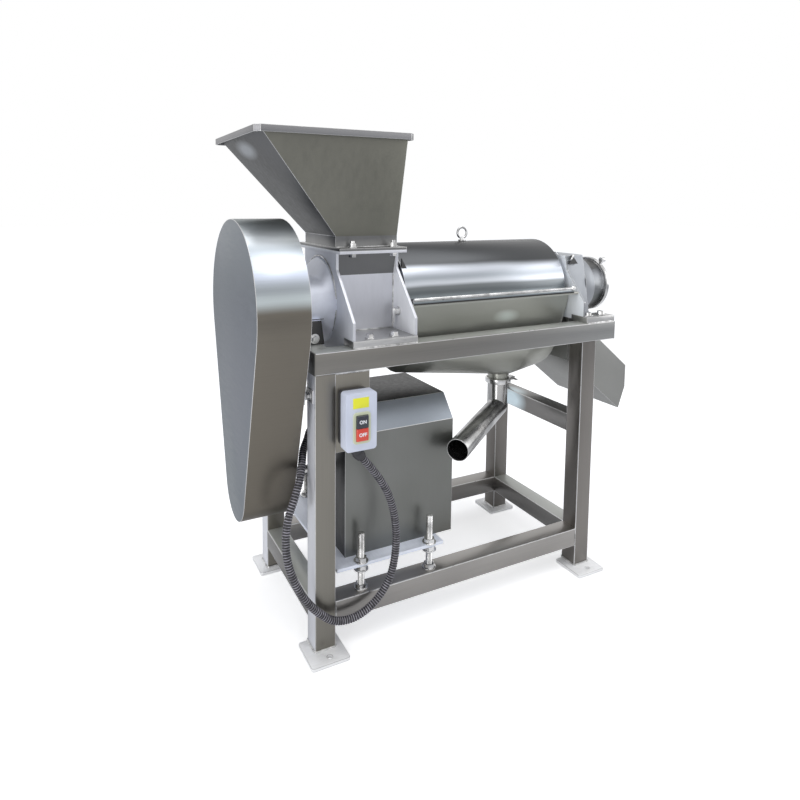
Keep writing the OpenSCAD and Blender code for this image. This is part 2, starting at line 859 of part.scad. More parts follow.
// The tank's bottom falls to the outlet and rounds up to each yoke
tank_end_x = 46;
tank_end_d = 165;
tank_right_rise = 22;
slice = 1;
tank_stations = [
    [feed_end, tank_end_d], [feed_end + tank_end_x, tank_left_d], [outlet_x, tank_low_d],
    [end_x - tank_end_x, tank_low_d - tank_right_rise], [end_x - slice, tank_end_d]];
module tank_body(inset) {
    r = hood_r - inset;
    difference() {
        hull() for (s = tank_stations) {
            x = max(feed_end + inset, min(end_x - inset - slice, s[0]));
            translate([x, mid_y, axis_z - s[1] + hood_r]) rotate([0, 90, 0])
                cylinder(h = slice, r = r, $fn = 32);
        }
        block([feed_end - cut, 0, seam_z], [end_x + cut, frame_w, axis_z + 2 * hood_r]);
    }
}
spout_h = 24;
module juice_tank() {
    in_r = auger_r + auger_gap + screen_t;
    spout_z = axis_z - tank_low_d - spout_h;
    color(steel) difference() {
        union() {
            tank_body(0);
            both_sides() block([feed_end, flange_in, seam_z - flange_t],
                               [end_x, mid_y - hood_r + shell_t, seam_z]);
            translate([outlet_x, mid_y, spout_z]) cylinder(h = spout_h + shell_t, r = pipe_r);
        }
        difference() {
            tank_body(shell_t);
            block([feed_end, 0, seam_z - cut], [end_x, frame_w, seam_z]);
        }
        block([feed_end + shell_t, mid_y - hood_r + shell_t, seam_z - flange_t - cut],
              [end_x - shell_t, mid_y + hood_r - shell_t, seam_z + cut]);
        along_x(feed_end - cut, end_x - feed_end + 2 * cut) {
            twin(in_r);
            translate([front_y, axis_z]) square([auger_spacing, hood_r]);
        }
        translate([outlet_x, mid_y, spout_z - cut])
            cylinder(h = spout_h + 4 * cut + shell_t, r = pipe_r - pipe_t);
    }
}

// Outlet pipe: down from the spout, then out to the frame's front past the motor cover's corner
outlet_bend_drop = 328;
outlet_bend_z = frame_h - outlet_bend_drop;
outlet_mouth_out = 5;
outlet_mouth_drop = 337;
outlet_pass_gap = 3.3;
corner_run = [outlet_x - cover_x1, mid_y - cover_in];
outlet_turn = atan2(corner_run[1], corner_run[0]) + asin((pipe_r + outlet_pass_gap) / norm(corner_run));
outlet_mouth = [outlet_x - (mid_y + outlet_mouth_out) / tan(outlet_turn), -outlet_mouth_out,
    frame_h - outlet_mouth_drop];
clamp_h = 16;
clamp_r = 45;
clamp_ear = 22;
wing_t = 8;
wing_l = 22;
outlet_top = axis_z - tank_low_d - spout_h;
module outlet_clamp() {
    z = outlet_top - clamp_h / 2;
    color(bright) {
        difference() {
            translate([outlet_x, mid_y, z]) cylinder(h = clamp_h, r = clamp_r);
            translate([outlet_x, mid_y, z - cut])
                cylinder(h = clamp_h + 2 * cut, r = pipe_r + free_gap / 2);
        }
        block([outlet_x + clamp_r - cut, mid_y - nut_r, z + cut],
              [outlet_x + clamp_r + clamp_ear, mid_y + nut_r, z + clamp_h - cut]);
        block([outlet_x + clamp_r + wing_t, mid_y - nut_r - wing_l, z + clamp_h / 2 - cut],
              [outlet_x + clamp_r + 2 * wing_t, mid_y - nut_r, z + clamp_h / 2 + cut]);
    }
}
elbow_over = 0.5;
module pipe_run(r, over) {
    run = outlet_mouth - [outlet_x, mid_y, outlet_bend_z];
    lean = atan2(norm([run[0], run[1]]), run[2]);
    translate([outlet_x, mid_y, outlet_bend_z]) {
        cylinder(h = outlet_top - outlet_bend_z + over, r = r);
        sphere(r + elbow_over);
        rotate([0, lean, atan2(run[1], run[0])]) cylinder(h = norm(run) + over, r = r);
    }
}
module outlet_pipe() {
    color(steel) difference() {
        pipe_run(pipe_r, 0);
        pipe_run(pipe_r - pipe_t, cut);
    }
}

// End housing, drum and chute

box_in = 74;
box_top_in = 113;
box_rise = 113;
box_top = axis_z + box_rise;
end_yoke_in = 20;
end_yoke_rise = 68;
end_neck_in = 116;
end_neck_rise = 183;
crown_half = 92;
crown_in = mid_y - crown_half;
crown_rise = 226;
crown_z = frame_h + crown_rise;
module end_box_outline(inset) {
    polygon([[box_in + inset, yoke_z], [box_top_in + inset, box_top - inset],
             [frame_w - box_top_in - inset, box_top - inset], [frame_w - box_in - inset, yoke_z]]);
}
module end_housing() {
    color(pale_steel) {
        difference() {
            along_x(end_x, yoke_t) {
                yoke(end_yoke_in, end_yoke_rise, end_neck_in, end_neck_rise, crown_in, crown_z);
                end_box_outline(0);
            }
            along_x(end_x - cut, yoke_t + 2 * cut) twin(auger_r + auger_gap);
        }
        difference() {
            along_x(end_x + yoke_t, end_box_x - end_x - yoke_t) end_box_outline(0);
            translate([0, 0, -cut]) along_x(end_x + yoke_t, end_box_x - end_x - yoke_t - seat_t)
                end_box_outline(wall_t);
            along_x(end_box_x - seat_t - cut, seat_t + 2 * cut) twin(bearing_r);
        }
        both_sides() block([end_x + yoke_t, box_in + cut, yoke_z],
                           [end_box_x, chute_in + chute_t, yoke_z + wall_t]);
    }
}

drum_neck_l = 40;
drum_neck_over = 12;
ring_w = 14;
ring_over = 8;
module end_drum() {
    color(steel) difference() {
        union() {
            rod_x(end_box_x, drum_neck_l, drum_r + drum_neck_over, front_y, axis_z);
            rod_x(end_box_x, drum_end - ring_w - end_box_x, drum_r, front_y, axis_z);
        }
        rod_x(end_box_x - cut, drum_neck_l - wall_t + cut, drum_r + drum_neck_over - wall_t,
              front_y, axis_z);
        rod_x(end_box_x - cut, drum_end, drum_r - wall_t, front_y, axis_z);
    }
}
knob_r = 9;
knob_over = 26;
knob_turn = 37;
module drum_ring() {
    color(bright) {
        difference() {
            rod_x(drum_end - ring_w, ring_w, drum_r + ring_over, front_y, axis_z);
            rod_x(drum_end - ring_w - cut, ring_w - wall_t + cut, drum_r - wall_t, front_y, axis_z);
        }
        rotate_about(knob_turn) {
            block([drum_end - ring_w + cut, front_y - knob_r / 2, axis_z + drum_r],
                  [drum_end - cut, front_y + knob_r / 2, axis_z + drum_r + knob_over]);
            rod_x(drum_end - ring_w - washer_h, ring_w + washer_h, knob_r,
                  front_y, axis_z + drum_r + knob_over);
        }
    }
}
module rotate_about(angle) {
    translate([0, front_y, axis_z]) rotate([angle, 0, 0]) translate([0, -front_y, -axis_z]) children();
}

chute_slope = 0.8;
chute_depth = 165;
chute_neck = 43;
lip_drop = 79;
lip_back = 29;
chute_top = yoke_z;
chute_left = end_x + yoke_t;
mouth_top = chute_top - chute_neck - (chute_reach - end_box_x) * chute_slope;
low_x = chute_reach - lip_back;
low_z = chute_top - chute_depth - (low_x - chute_left) * chute_slope;
module chute_side() {
    polygon([[chute_left, chute_top - chute_depth], [chute_left, chute_top],
             [end_box_x, chute_top], [end_box_x, chute_top - chute_neck],
             [chute_reach, mouth_top], [chute_reach, mouth_top - lip_drop],
             [low_x, low_z]]);
}
module chute_floor() {
    polygon([[chute_left, chute_top - chute_depth], [low_x, low_z], [low_x, low_z + chute_t],
             [chute_left + chute_t, chute_top - chute_depth + chute_t], [chute_left + chute_t, chute_top],
             [chute_left, chute_top]]);
}
module residue_chute() {
    color(steel) {
        both_sides() along_y(chute_in, chute_t) chute_side();
        along_y(chute_in, frame_w - 2 * chute_in) {
            chute_floor();
            translate([end_box_x - chute_t, chute_top - chute_neck]) square([chute_t, chute_neck]);
        }
    }
}

// Motor, base plate, studs and cover

base_x0 = 72;
base_x1 = 421;
base_in = 18;
stud_left = 151;
stud_right = 378;
stud_xs = [stud_left, stud_right];
module motor_base_plate() {
    color(bright) difference() {
        block([base_x0, base_in, base_h - base_t], [base_x1, frame_w - base_in, base_h]);
        for (x = stud_xs, y = [stud_in, frame_w - stud_in])
            translate([x, y, base_h - base_t - cut])
                cylinder(h = base_t + 2 * cut, r = stud_r + free_gap);
    }
}
stud_over = 87;
module adjusting_studs() {
    color(bright) for (x = stud_xs, y = [stud_in, frame_w - stud_in])
        translate([x, y, low_h]) cylinder(h = base_h + stud_over - low_h, r = stud_r);
}
stud_nut_r = 17;
stud_nut_h = 13;
module stud_nut(x, y, z) {
    difference() {
        translate([x, y, z]) {
            cylinder(h = stud_nut_h, r = stud_nut_r, $fn = 6);
            cylinder(h = washer_h, r = stud_foot_r);
        }
        translate([x, y, z - cut]) cylinder(h = stud_nut_h + 2 * cut, r = stud_r + run_gap);
    }
}
module stud_nuts() {
    color(bright) for (x = stud_xs, y = [stud_in, frame_w - stud_in]) {
        stud_nut(x, y, low_h);
        stud_nut(x, y, base_h);
        stud_nut(x, y, base_h - base_t - stud_nut_h);
    }
}

riser_half = 95;
riser_h = 82;
cowl_l = 66;
cowl_over = 4;
terminal_l = 90;
terminal_h = 60;
terminal_in = 20;
terminal_rise = 2;
riser_end = 25;
web_end = 45;
terminal_x = motor_x + terminal_in;
terminal_z = motor_z + motor_r + terminal_rise;
gland_l = 20;
gland_r = 15;
module motor_body() {
    color([0.35, 0.6, 0.6]) difference() {
        union() {
            rod_x(motor_x, motor_l, motor_r, motor_y, motor_z);
            rod_x(motor_x + motor_l, cowl_l, motor_r - cowl_over, motor_y, motor_z);
            block([motor_x + riser_end, motor_y - riser_half, base_h],
                  [motor_x + motor_l - riser_end, motor_y + riser_half, base_h + riser_h]);
            block([motor_x + web_end, motor_y - riser_half / 2, base_h + riser_h],
                  [motor_x + motor_l - web_end, motor_y + riser_half / 2, motor_z]);
            block([terminal_x, motor_y - terminal_l / 2, motor_z],
                  [terminal_x + terminal_l, motor_y + terminal_l / 2, terminal_z + terminal_h]);
            rod_x(terminal_x - gland_l, gland_l + cut, gland_r, motor_y, terminal_z + terminal_h / 2);
        }
        rod_x(motor_x - cut, bearing_w + cut, motor_shaft_r + run_gap, motor_y, motor_z);
    }
}
module motor_shaft() {
    x0 = pulley_x - shaft_stub;
    color(bright) rod_x(x0, motor_x + bearing_w - shaft_inset - x0, motor_shaft_r, motor_y, motor_z);
}

cover_bevel_y = 55;
cover_bevel_z = 67;
module cover_outline(inset) {
    polygon([[cover_in + inset, base_h], [cover_in + inset, cover_h - cover_bevel_z],
             [cover_in + cover_bevel_y + inset / 2, cover_h - inset], [cover_back - inset, cover_h - inset],
             [cover_back - inset, base_h]]);
}
cover_shaft_gap = 8;
cover_conduit_gap = 5;
module motor_cover() {
    color(steel) difference() {
        along_x(cover_x0, cover_x1 - cover_x0) cover_outline(0);
        translate([0, 0, -cut]) along_x(cover_x0 + cover_t, cover_x1 - cover_x0 - 2 * cover_t)
            cover_outline(cover_t);
        block([cover_x0 + cover_t, cover_in + cover_t, base_h - cut],
              [cover_x1 - cover_t, cover_back - cover_t, base_h + 3 * cut]);
        rod_x(cover_x0 - cut, cover_t + 2 * cut, motor_shaft_r + cover_shaft_gap, motor_y, motor_z);
        rod_x(cover_x0 - cut, cover_t + 2 * cut, conduit_r + cover_conduit_gap, motor_y,
              terminal_z + terminal_h / 2);
    }
}

// Switch box on a plate hung from the front beam

plate_y = 6;
bracket_plate_t = 4;
bracket_plate_l = 220;
box_x = 65;
box_drop = 42;
bracket_over = 8;
back_in = 4;
back_d = 26;
box_corner = 9;
box_z0 = frame_h - tube - box_drop - box_h;
box_y0 = plate_y - back_d - box_d;
module switch_bracket() {
    color(steel) block([tube, plate_y, frame_h - tube - bracket_plate_l],
                       [box_x + box_w + bracket_over, plate_y + bracket_plate_t, frame_h - tube]);
}

button_side = 34;
button_gap = 0.3;
button_x = box_x + (box_w - button_side) / 2;
button_rise = 29;
button_z = box_z0 + button_rise;
pocket_d = 20;
bezel_w = 8;
bezel_t = 4;
button_out = 6;
button_clear = 1;
module rounded_box_outline(x, z, w, h, corner) {
    translate([x + corner, z + corner]) offset(r = corner) square([w - 2 * corner, h - 2 * corner]);
}
module button_pocket() {
    translate([button_x - button_gap, button_z - button_gap])
        square([button_side + 2 * button_gap, 2 * button_side + 3 * button_gap]);
}
switch_gland_lean = 38;
switch_gland_l = 32;
switch_gland_x = 33;
switch_gland_y = 25;
gland_foot = [box_x + switch_gland_x, box_y0 + switch_gland_y, box_z0 + cut];
module switch_box() {
    color(pale_steel) {
        difference() {
            along_y(box_y0, box_d) rounded_box_outline(box_x, box_z0, box_w, box_h, box_corner);
            along_y(box_y0 - cut, pocket_d + cut) button_pocket();
        }
        along_y(box_y0 - bezel_t, bezel_t) difference() {
            rounded_box_outline(button_x - bezel_w, button_z - bezel_w, button_side + 2 * bezel_w,
                                2 * (button_side + bezel_w) + button_gap, box_corner);
            button_pocket();
        }
        along_y(box_y0 + box_d, back_d)
            rounded_box_outline(box_x + back_in, box_z0 + back_in, box_w - 2 * back_in,
                                box_h - 2 * back_in, box_corner);
        difference() {
            translate(gland_foot) rotate([0, 180 - switch_gland_lean, 0])
                cylinder(h = switch_gland_l, r = gland_r);
            block([box_x, box_y0, box_z0 + cut], [box_x + box_w, plate_y, box_z0 + box_h]);
        }
    }
}
module push_button(z) {
    along_y(box_y0 - bezel_t - button_out, button_out + bezel_t + pocket_d - button_travel - button_clear)
        translate([button_x, z]) square(button_side);
}
module on_button() color(dark) push_button(button_z + button_side + button_gap);
module off_button() color([0.75, 0.15, 0.12]) push_button(button_z);

// Corrugated conduit: its line runs through points chosen by hand
conduit_start = gland_foot + switch_gland_l * [sin(switch_gland_lean), 0, -cos(switch_gland_lean)];
conduit_end = [terminal_x - gland_l, motor_y, terminal_z + terminal_h / 2];
conduit_route = [
    [132, -30, 540], [157, -30, 509], [184, -30, 470], [208, -30, 424], [224, -30, 368],
    [231, -30, 310], [228, -30, 248], [214, -30, 192], [184, -30, 145], [142, -30, 113],
    [92, -30, 100], [42, -30, 110], [-2, -28, 145], [-38, -26, 190], [-65, -22, 242],
    [-82, -15, 300], [-84, -6, 358], [-73, 2, 412], [-51, 14, 457], [-30, 35, 492],
    [-13.5, 64, 521], [2, 95, 545], [25, 125, 564], [39, 146.5, 574], [57, 165, 582], [79, 179, 587],
    [103, 187, 590], [128, 190, 590]];

// A smooth curve through the points, four points at a time
function blend(a, b, c, d, t) = 0.5 * (2 * b + (c - a) * t + (2 * a - 5 * b + 4 * c - d) * t * t
    + (3 * b - a - 3 * c + d) * t * t * t);
route = concat([conduit_start], conduit_route, [conduit_end]);
last = len(route) - 1;
function route_at(s) = let (i = min(floor(s), last - 1))
    blend(route[max(i - 1, 0)], route[i], route[i + 1], route[min(i + 2, last)], s - i);
ribs = 190;
rib_depth = 1.5;
conduit_wall = 3;
bore_rings = 96;
sides = 8;
function share_at(u) = u * last;
step_share = 0.05;
function heading(s) = let (
        d = route_at(min(s + step_share, last)) - route_at(max(s - step_share, 0)))
    d / norm(d);
function side_of(h) = let (w = cross(h, [-0.6, 1, -0.6])) w / norm(w);
function ring(s, r) = let (c = route_at(s), h = heading(s), u = side_of(h), v = cross(h, u))
    [for (k = [0:sides - 1]) c + r * (cos(k * 360 / sides) * u + sin(k * 360 / sides) * v)];
function walls(n, start) = [for (i = [0:n - 2], k = [0:sides - 1])
    let (a = start + sides * i + k, b = start + sides * i + (k + 1) % sides)
    each [[a, a + sides, b + sides], [a, b + sides, b]]];
function flip(faces) = [for (f = faces) [f[2], f[1], f[0]]];
function cap(a, b) = [for (k = [0:sides - 1]) let (n = (k + 1) % sides)
    each [[a + k, a + n, b + n], [a + k, b + n, b + k]]];
module conduit() {
    crest = [for (i = [0:2 * ribs]) ring(share_at(i / (2 * ribs)), conduit_r - i % 2 * rib_depth)];
    bore = [for (i = [0:bore_rings - 1]) ring(share_at(i / (bore_rings - 1)), conduit_r - conduit_wall)];
    n = len(crest);
    faces = concat(walls(n, 0), flip(walls(bore_rings, n * sides)), cap(0, n * sides),
        flip(cap((n - 1) * sides, (n + bore_rings - 1) * sides)));
    color(dark) polyhedron([for (r = crest) each r, for (r = bore) each r], faces);
}

place() post_front_left();
place() post_front_right();
place() post_rear_left();
place() post_rear_right();
place() top_beam_front();
place() top_beam_rear();
place() top_cross_left();
place() low_beam_front();
place() low_beam_rear();
place() low_beam_left();
place() low_beam_right();
place() cross_beam_right();
place() beam_end_caps();
place() foot_plates();
place() belt_guard();
place() guard_back_plate();
place() guard_brackets();
place() v_belts();
place() auger_pulley();
place() motor_pulley();
place() gear_case();
place() timing_gear_front();
place() timing_gear_rear();
place() shaft_bearings();
place() auger_shaft_front();
place() auger_shaft_rear();
place() auger_flight_front();
place() auger_flight_rear();
place() feed_housing();
place() feed_base_plates();
place() lock_bolts();
place() hopper();
place() hopper_rim();
place() hopper_bolts();
place() hood();
place() lifting_eye();
place() hood_knuckles();
place() tank_knuckles();
place() hinge_pins();
place() juice_screen();
place() juice_tank();
place() outlet_clamp();
place() outlet_pipe();
place() end_housing();
place() end_base_plates();
place() base_bolts();
place() end_drum();
place() drum_ring();
place() residue_chute();
place() motor_base_plate();
place() adjusting_studs();
place() stud_nuts();
place() motor_body();
place() motor_shaft();
place() motor_cover();
place() switch_bracket();
place() switch_box();
place() on_button();
place() off_button();
place() conduit();
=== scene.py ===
import json
import math
import bmesh
import bpy
from mathutils import Euler, Matrix, Vector


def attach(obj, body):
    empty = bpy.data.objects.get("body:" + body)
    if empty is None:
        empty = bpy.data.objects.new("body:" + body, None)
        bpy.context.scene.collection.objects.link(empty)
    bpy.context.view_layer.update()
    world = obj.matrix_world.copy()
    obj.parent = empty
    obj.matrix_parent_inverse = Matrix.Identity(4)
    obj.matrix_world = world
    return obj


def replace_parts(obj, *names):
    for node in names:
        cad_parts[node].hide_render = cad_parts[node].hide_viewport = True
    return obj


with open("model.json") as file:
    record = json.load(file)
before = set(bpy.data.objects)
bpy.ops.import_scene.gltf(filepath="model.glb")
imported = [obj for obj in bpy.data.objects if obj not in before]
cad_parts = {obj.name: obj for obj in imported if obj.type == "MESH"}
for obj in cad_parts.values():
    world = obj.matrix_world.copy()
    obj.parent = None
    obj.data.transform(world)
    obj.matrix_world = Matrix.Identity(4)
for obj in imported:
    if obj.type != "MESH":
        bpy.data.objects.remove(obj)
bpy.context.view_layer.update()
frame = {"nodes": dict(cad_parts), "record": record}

BODY_OF = {
    node: body
    for body, nodes in frame["record"]["behaviour"]["bodies"].items()
    for node in nodes
}

# Sizes of the machine in millimetres. Places count from the frame's front left corner on the floor.
FRAME_L, FRAME_W, FRAME_H = 1000, 500, 840
TUBE = 60
MID_Y = FRAME_W / 2
LOW_BEAM_Z = 80
PLATE_Z = 860
YOKE_T = 8
FEED_X, FEED_END = 113, 314
END_X, END_PLATE_END = 962, 1082
AXIS_Z = 945
FRONT_Y, REAR_Y = 190, 310

# spot() turns such a place into metres from the middle of the four anchor holes.
ANCHOR_X, ANCHOR_Y = 500, 242


def spot(x, y, z):
    return Vector((x - ANCHOR_X, y - ANCHOR_Y, z)) / 1000


def middle_of(face):
    """The middle of a face in millimetres from the frame's corner."""
    return face.calc_center_median() * 1000 + Vector((ANCHOR_X, ANCHOR_Y, 0))


# Camera

PHOTO_SIDE = 800
FOCAL_PIXELS = 617.498
OPTICAL_CENTRE = (370.658, 258.835)
SENSOR_MM = 36
YAW, PITCH, ROLL = 26.386, 5.262, 0.361
STAND_POINT = (-572.41, -1477.86, 1235.66)

lens = bpy.data.cameras.new("photo_camera")
lens.sensor_width = SENSOR_MM
lens.lens = FOCAL_PIXELS * SENSOR_MM / PHOTO_SIDE
lens.shift_x = (PHOTO_SIDE / 2 - OPTICAL_CENTRE[0]) / PHOTO_SIDE
lens.shift_y = (OPTICAL_CENTRE[1] - PHOTO_SIDE / 2) / PHOTO_SIDE
lens.clip_start = 0.05
camera = bpy.data.objects.new("photo_camera", lens)
bpy.context.scene.collection.objects.link(camera)
turn = (
    Matrix.Rotation(math.radians(-YAW), 4, "Z")
    @ Matrix.Rotation(math.radians(90 - PITCH), 4, "X")
    @ Matrix.Rotation(math.radians(ROLL), 4, "Z")
)
camera.matrix_world = Matrix.Translation(spot(*STAND_POINT)) @ turn
bpy.context.scene.camera = camera


# Finishes

# Sockets of a Mix node that mixes colours
MIX_SHARE, MIX_A, MIX_B, MIX_COLOUR = 0, 6, 7, 2

# A noise stays between these values nearly everywhere
NOISE_LOW, NOISE_HIGH = 0.3, 0.7
CLOUD_LOW, CLOUD_HIGH = 0.35, 0.65

# A soft patch is full up to this share of its reach
SOFT_FROM_SHARE = 0.35


class Nodes:
    """A node tree that is built a node at a time."""

    def __init__(self, tree):
        self.tree = tree

    def node(self, kind, **values):
        made = self.tree.nodes.new(kind)
        for key, value in values.items():
            setattr(made, key, value)
        return made

    def join(self, out, into):
        self.tree.links.new(out, into)

    def feed(self, socket, value):
        """Links an output to a socket, or sets a plain value on it."""
        if isinstance(value, bpy.types.NodeSocket):
            self.join(value, socket)
        else:
            socket.default_value = value

    def combine(self, a, b, step):
        made = self.node("ShaderNodeMath", operation=step)
        self.feed(made.inputs[0], a)
        self.feed(made.inputs[1], b)
        return made.outputs[0]


class Finish(Nodes):
    """A node material with one shader."""

    def __init__(self, name):
        self.material = bpy.data.materials.new(name)
        self.material.use_nodes = True
        super().__init__(self.material.node_tree)
        self.shader = self.tree.nodes["Principled BSDF"]
        self.place = self.node("ShaderNodeTexCoord").outputs["Object"]

    def noise(self, scale, detail, roughness=0.55):
        mapping = self.node("ShaderNodeMapping")
        mapping.inputs["Scale"].default_value = scale
        self.join(self.place, mapping.inputs["Vector"])
        made = self.node("ShaderNodeTexNoise")
        made.inputs["Scale"].default_value = 1.0
        made.inputs["Detail"].default_value = detail
        made.inputs["Roughness"].default_value = roughness
        self.join(mapping.outputs["Vector"], made.inputs["Vector"])
        return made.outputs["Fac"]

    def spread(self, value, low, high, to_low=0.0, to_high=1.0):
        made = self.node("ShaderNodeMapRange")
        made.inputs["From Min"].default_value = low
        made.inputs["From Max"].default_value = high
        made.inputs["To Min"].default_value = to_low
        made.inputs["To Max"].default_value = to_high
        self.join(value, made.inputs["Value"])
        return made.outputs["Result"]

    def ramp(self, value, stops, smooth="LINEAR"):
        made = self.node("ShaderNodeValToRGB")
        made.color_ramp.interpolation = smooth
        marks = made.color_ramp.elements
        while len(marks) < len(stops):
            marks.new(0.5)
        for mark, (at, colour) in zip(marks, stops):
            mark.position = at
            mark.color = (*colour, 1)
        self.join(value, made.inputs["Fac"])
        return made.outputs["Color"]

    def mix(self, share, a, b, blend="MIX"):
        made = self.node("ShaderNodeMix", data_type="RGBA", blend_type=blend)
        self.feed(made.inputs[MIX_SHARE], share)
        for socket, colour in ((MIX_A, a), (MIX_B, b)):
            plain = not isinstance(colour, bpy.types.NodeSocket)
            self.feed(made.inputs[socket], (*colour, 1) if plain else colour)
        return made.outputs[MIX_COLOUR]

    def height(self, axis="Z"):
        made = self.node("ShaderNodeSeparateXYZ")
        self.join(self.place, made.inputs[0])
        return made.outputs[axis]

    def near(self, middle, reach):
        """1 near a place and 0 beyond its reach, in millimetres of the object's own space."""
        away = self.node("ShaderNodeVectorMath", operation="SUBTRACT")
        self.join(self.place, away.inputs[0])
        away.inputs[1].default_value = [v / 1000 for v in middle]
        shares = self.node("ShaderNodeVectorMath", operation="DIVIDE")
        self.join(away.outputs[0], shares.inputs[0])
        shares.inputs[1].default_value = [v / 1000 for v in reach]
        length = self.node("ShaderNodeVectorMath", operation="LENGTH")
        self.join(shares.outputs[0], length.inputs[0])
        return self.spread(length.outputs["Value"], 1.0, SOFT_FROM_SHARE)

    def set(self, **values):
        for key, value in values.items():
            self.shader.inputs[key.replace("_", " ")].default_value = value

    def colour(self, out):
        self.join(out, self.shader.inputs["Base Color"])

    def roughness(self, value, low, high):
        spread = self.spread(value, NOISE_LOW, NOISE_HIGH, low, high)
        self.join(spread, self.shader.inputs["Roughness"])

    def bump(self, value, strength, distance):
        made = self.node("ShaderNodeBump")
        made.inputs["Strength"].default_value = strength
        made.inputs["Distance"].default_value = distance
        self.join(value, made.inputs["Height"])
        self.join(made.outputs["Normal"], self.shader.inputs["Normal"])


def grey(value, warm=0.0):
    return (value * (1 + warm), value, value * (1 - warm))


# Grains: brush marks drawn out along an axis or up a sheet, or the same in every direction
ALONG_X, ALONG_Y, ALONG_Z = (5, 420, 420), (420, 5, 420), (420, 420, 5)
ACROSS_PLATE, UP_YOKE, UP_SHEET = (40, 300, 300), (60, 60, 14), (70, 70, 12)
EVEN, EVEN_SHEET, FINE = (60,) * 3, (70,) * 3, (90,) * 3

# Brush marks at full strength: how much darker and lighter they are, and their bump and its depth
STREAK_DARK, STREAK_LIGHT = 0.22, 0.1
STREAK_BUMP, STREAK_DEPTH = 0.08, 0.0004
STREAK_DETAIL, STREAK_ROUGHNESS = 4.0, 0.7

# Soft clouds of tone, and how far they move the edge of a band, in metres
CLOUD_SCALE, CLOUD_DETAIL = 1.6, 2.0
BAND_DRIFT = 0.006

# Moulded surfaces: scale of the slow change of tone, swing of the roughness, depth of the tooth
SLOW_SCALE, SLOW_DETAIL = 9, 3.0
MOULDED_SWING = 0.07
TOOTH_DEPTH = 0.0002


def brushed(made, base, grain, rough, marks, metal, glow):
    """Gives a steel its brush marks: grain is their stretch and marks their strength.

    glow is a painted highlight: a soft bright patch, with its middle, its reach and its colour.
    metal below 1 gives the dull sheen of a pickled or blasted plate."""
    brush = made.noise(grain, STREAK_DETAIL, STREAK_ROUGHNESS)
    if glow:
        # The painted highlight patch is mixed into the base colour.
        base = made.mix(made.near(*glow[:2]), base, glow[2])
    streaks = made.ramp(made.spread(brush, NOISE_LOW, NOISE_HIGH),
                        [(0, grey(1 - STREAK_DARK * marks)), (1, grey(1 + STREAK_LIGHT * marks))])
    made.colour(made.mix(1.0, base, streaks, "MULTIPLY"))
    made.roughness(brush, *rough)
    made.set(Metallic=metal)
    made.bump(brush, STREAK_BUMP * marks, STREAK_DEPTH)
    return made.material


def steel(name, dark, light, grain, rough=(0.28, 0.4), cloud=CLOUD_SCALE, marks=0.5, glow=None, metal=1.0):
    """Brushed stainless between two tones, in clouds."""
    made = Finish(name)
    clouds = made.spread(made.noise((cloud,) * 3, CLOUD_DETAIL), CLOUD_LOW, CLOUD_HIGH)
    return brushed(made, made.mix(clouds, dark, light), grain, rough, marks, metal, glow)


def banded_steel(name, tones, axis="Z", rough=(0.28, 0.4), marks=0.25, metal=1.0, grain=ALONG_X,
                 smooth="EASE"):
    """Brushed stainless with bands of tone along an axis, used for painted reflections and painted shade:
    each tone is a place in metres and a colour.
    """
    made = Finish(name)
    low, high = tones[0][0], tones[-1][0]
    clouds = made.noise((CLOUD_SCALE,) * 3, CLOUD_DETAIL)
    drift = made.spread(clouds, NOISE_LOW, NOISE_HIGH, -BAND_DRIFT, BAND_DRIFT)
    level = made.spread(made.combine(made.height(axis), drift, "ADD"), low, high)
    base = made.ramp(level, [((at - low) / (high - low), colour) for at, colour in tones], smooth)
    return brushed(made, base, grain, rough, marks, metal, None)


def moulded(name, colour, shade, rough=0.45, speckle=900, bump=0.12, coat=0.0):
    """Moulded plastic or paint with a fine tooth and a slow change of tone."""
    made = Finish(name)
    fine = made.noise((speckle,) * 3, CLOUD_DETAIL)
    slow = made.noise((SLOW_SCALE,) * 3, SLOW_DETAIL)
    made.colour(made.mix(made.spread(slow, CLOUD_LOW, CLOUD_HIGH), shade, colour))
    made.roughness(slow, rough - MOULDED_SWING, rough + MOULDED_SWING)
    made.set(Coat_Weight=coat)
    made.bump(fine, bump, TOOTH_DEPTH)
    return made.material


# Painted shade and light along the top beams and their end caps: darker towards the middle and lighter
# towards the right end.
TUBE_X = banded_steel("beam_steel", [
    (-0.5, (0.25, 0.24, 0.22)), (-0.1, (0.17, 0.165, 0.155)), (0.3, (0.24, 0.24, 0.235)),
    (0.585, (0.3, 0.305, 0.305))], axis="X", marks=0.3, metal=0.7, smooth="B_SPLINE")
# Painted light: the up-facing tops of the beams get this lighter copy of the beam steel.
BEAM_TOP = steel("beam_top_painted_light", (0.42, 0.43, 0.4), (0.55, 0.56, 0.53), ALONG_X, marks=0.3, metal=0.4)
# Painted light: the left-facing sides of the left posts get this pale copy of the post steel.
POST_SIDE = steel("post_side_painted_light", (0.6, 0.61, 0.65), (0.78, 0.79, 0.84), ALONG_Z, marks=0.3, metal=0.35)
LOW_TUBE_X = steel("low_beam_steel", grey(0.26, 0.04), grey(0.36, 0.04), ALONG_X, marks=0.3)
TUBE_Y = steel("cross_beam_steel", grey(0.2, 0.04), grey(0.3, 0.02), ALONG_Y, marks=0.3)
# The cross beam steel with a painted highlight: a pale soft patch on the right cross beam.
TUBE_PATCHED = steel("cross_beam_painted_highlight", grey(0.2, 0.04), grey(0.3, 0.02), ALONG_Y, marks=0.3,
                     glow=((440, 104, 490), (60, 85, 60), (0.75, 0.88, 0.94)))
TUBE_Z = steel("post_steel", (0.23, 0.22, 0.195), (0.27, 0.255, 0.225), ALONG_Z, marks=0.25)
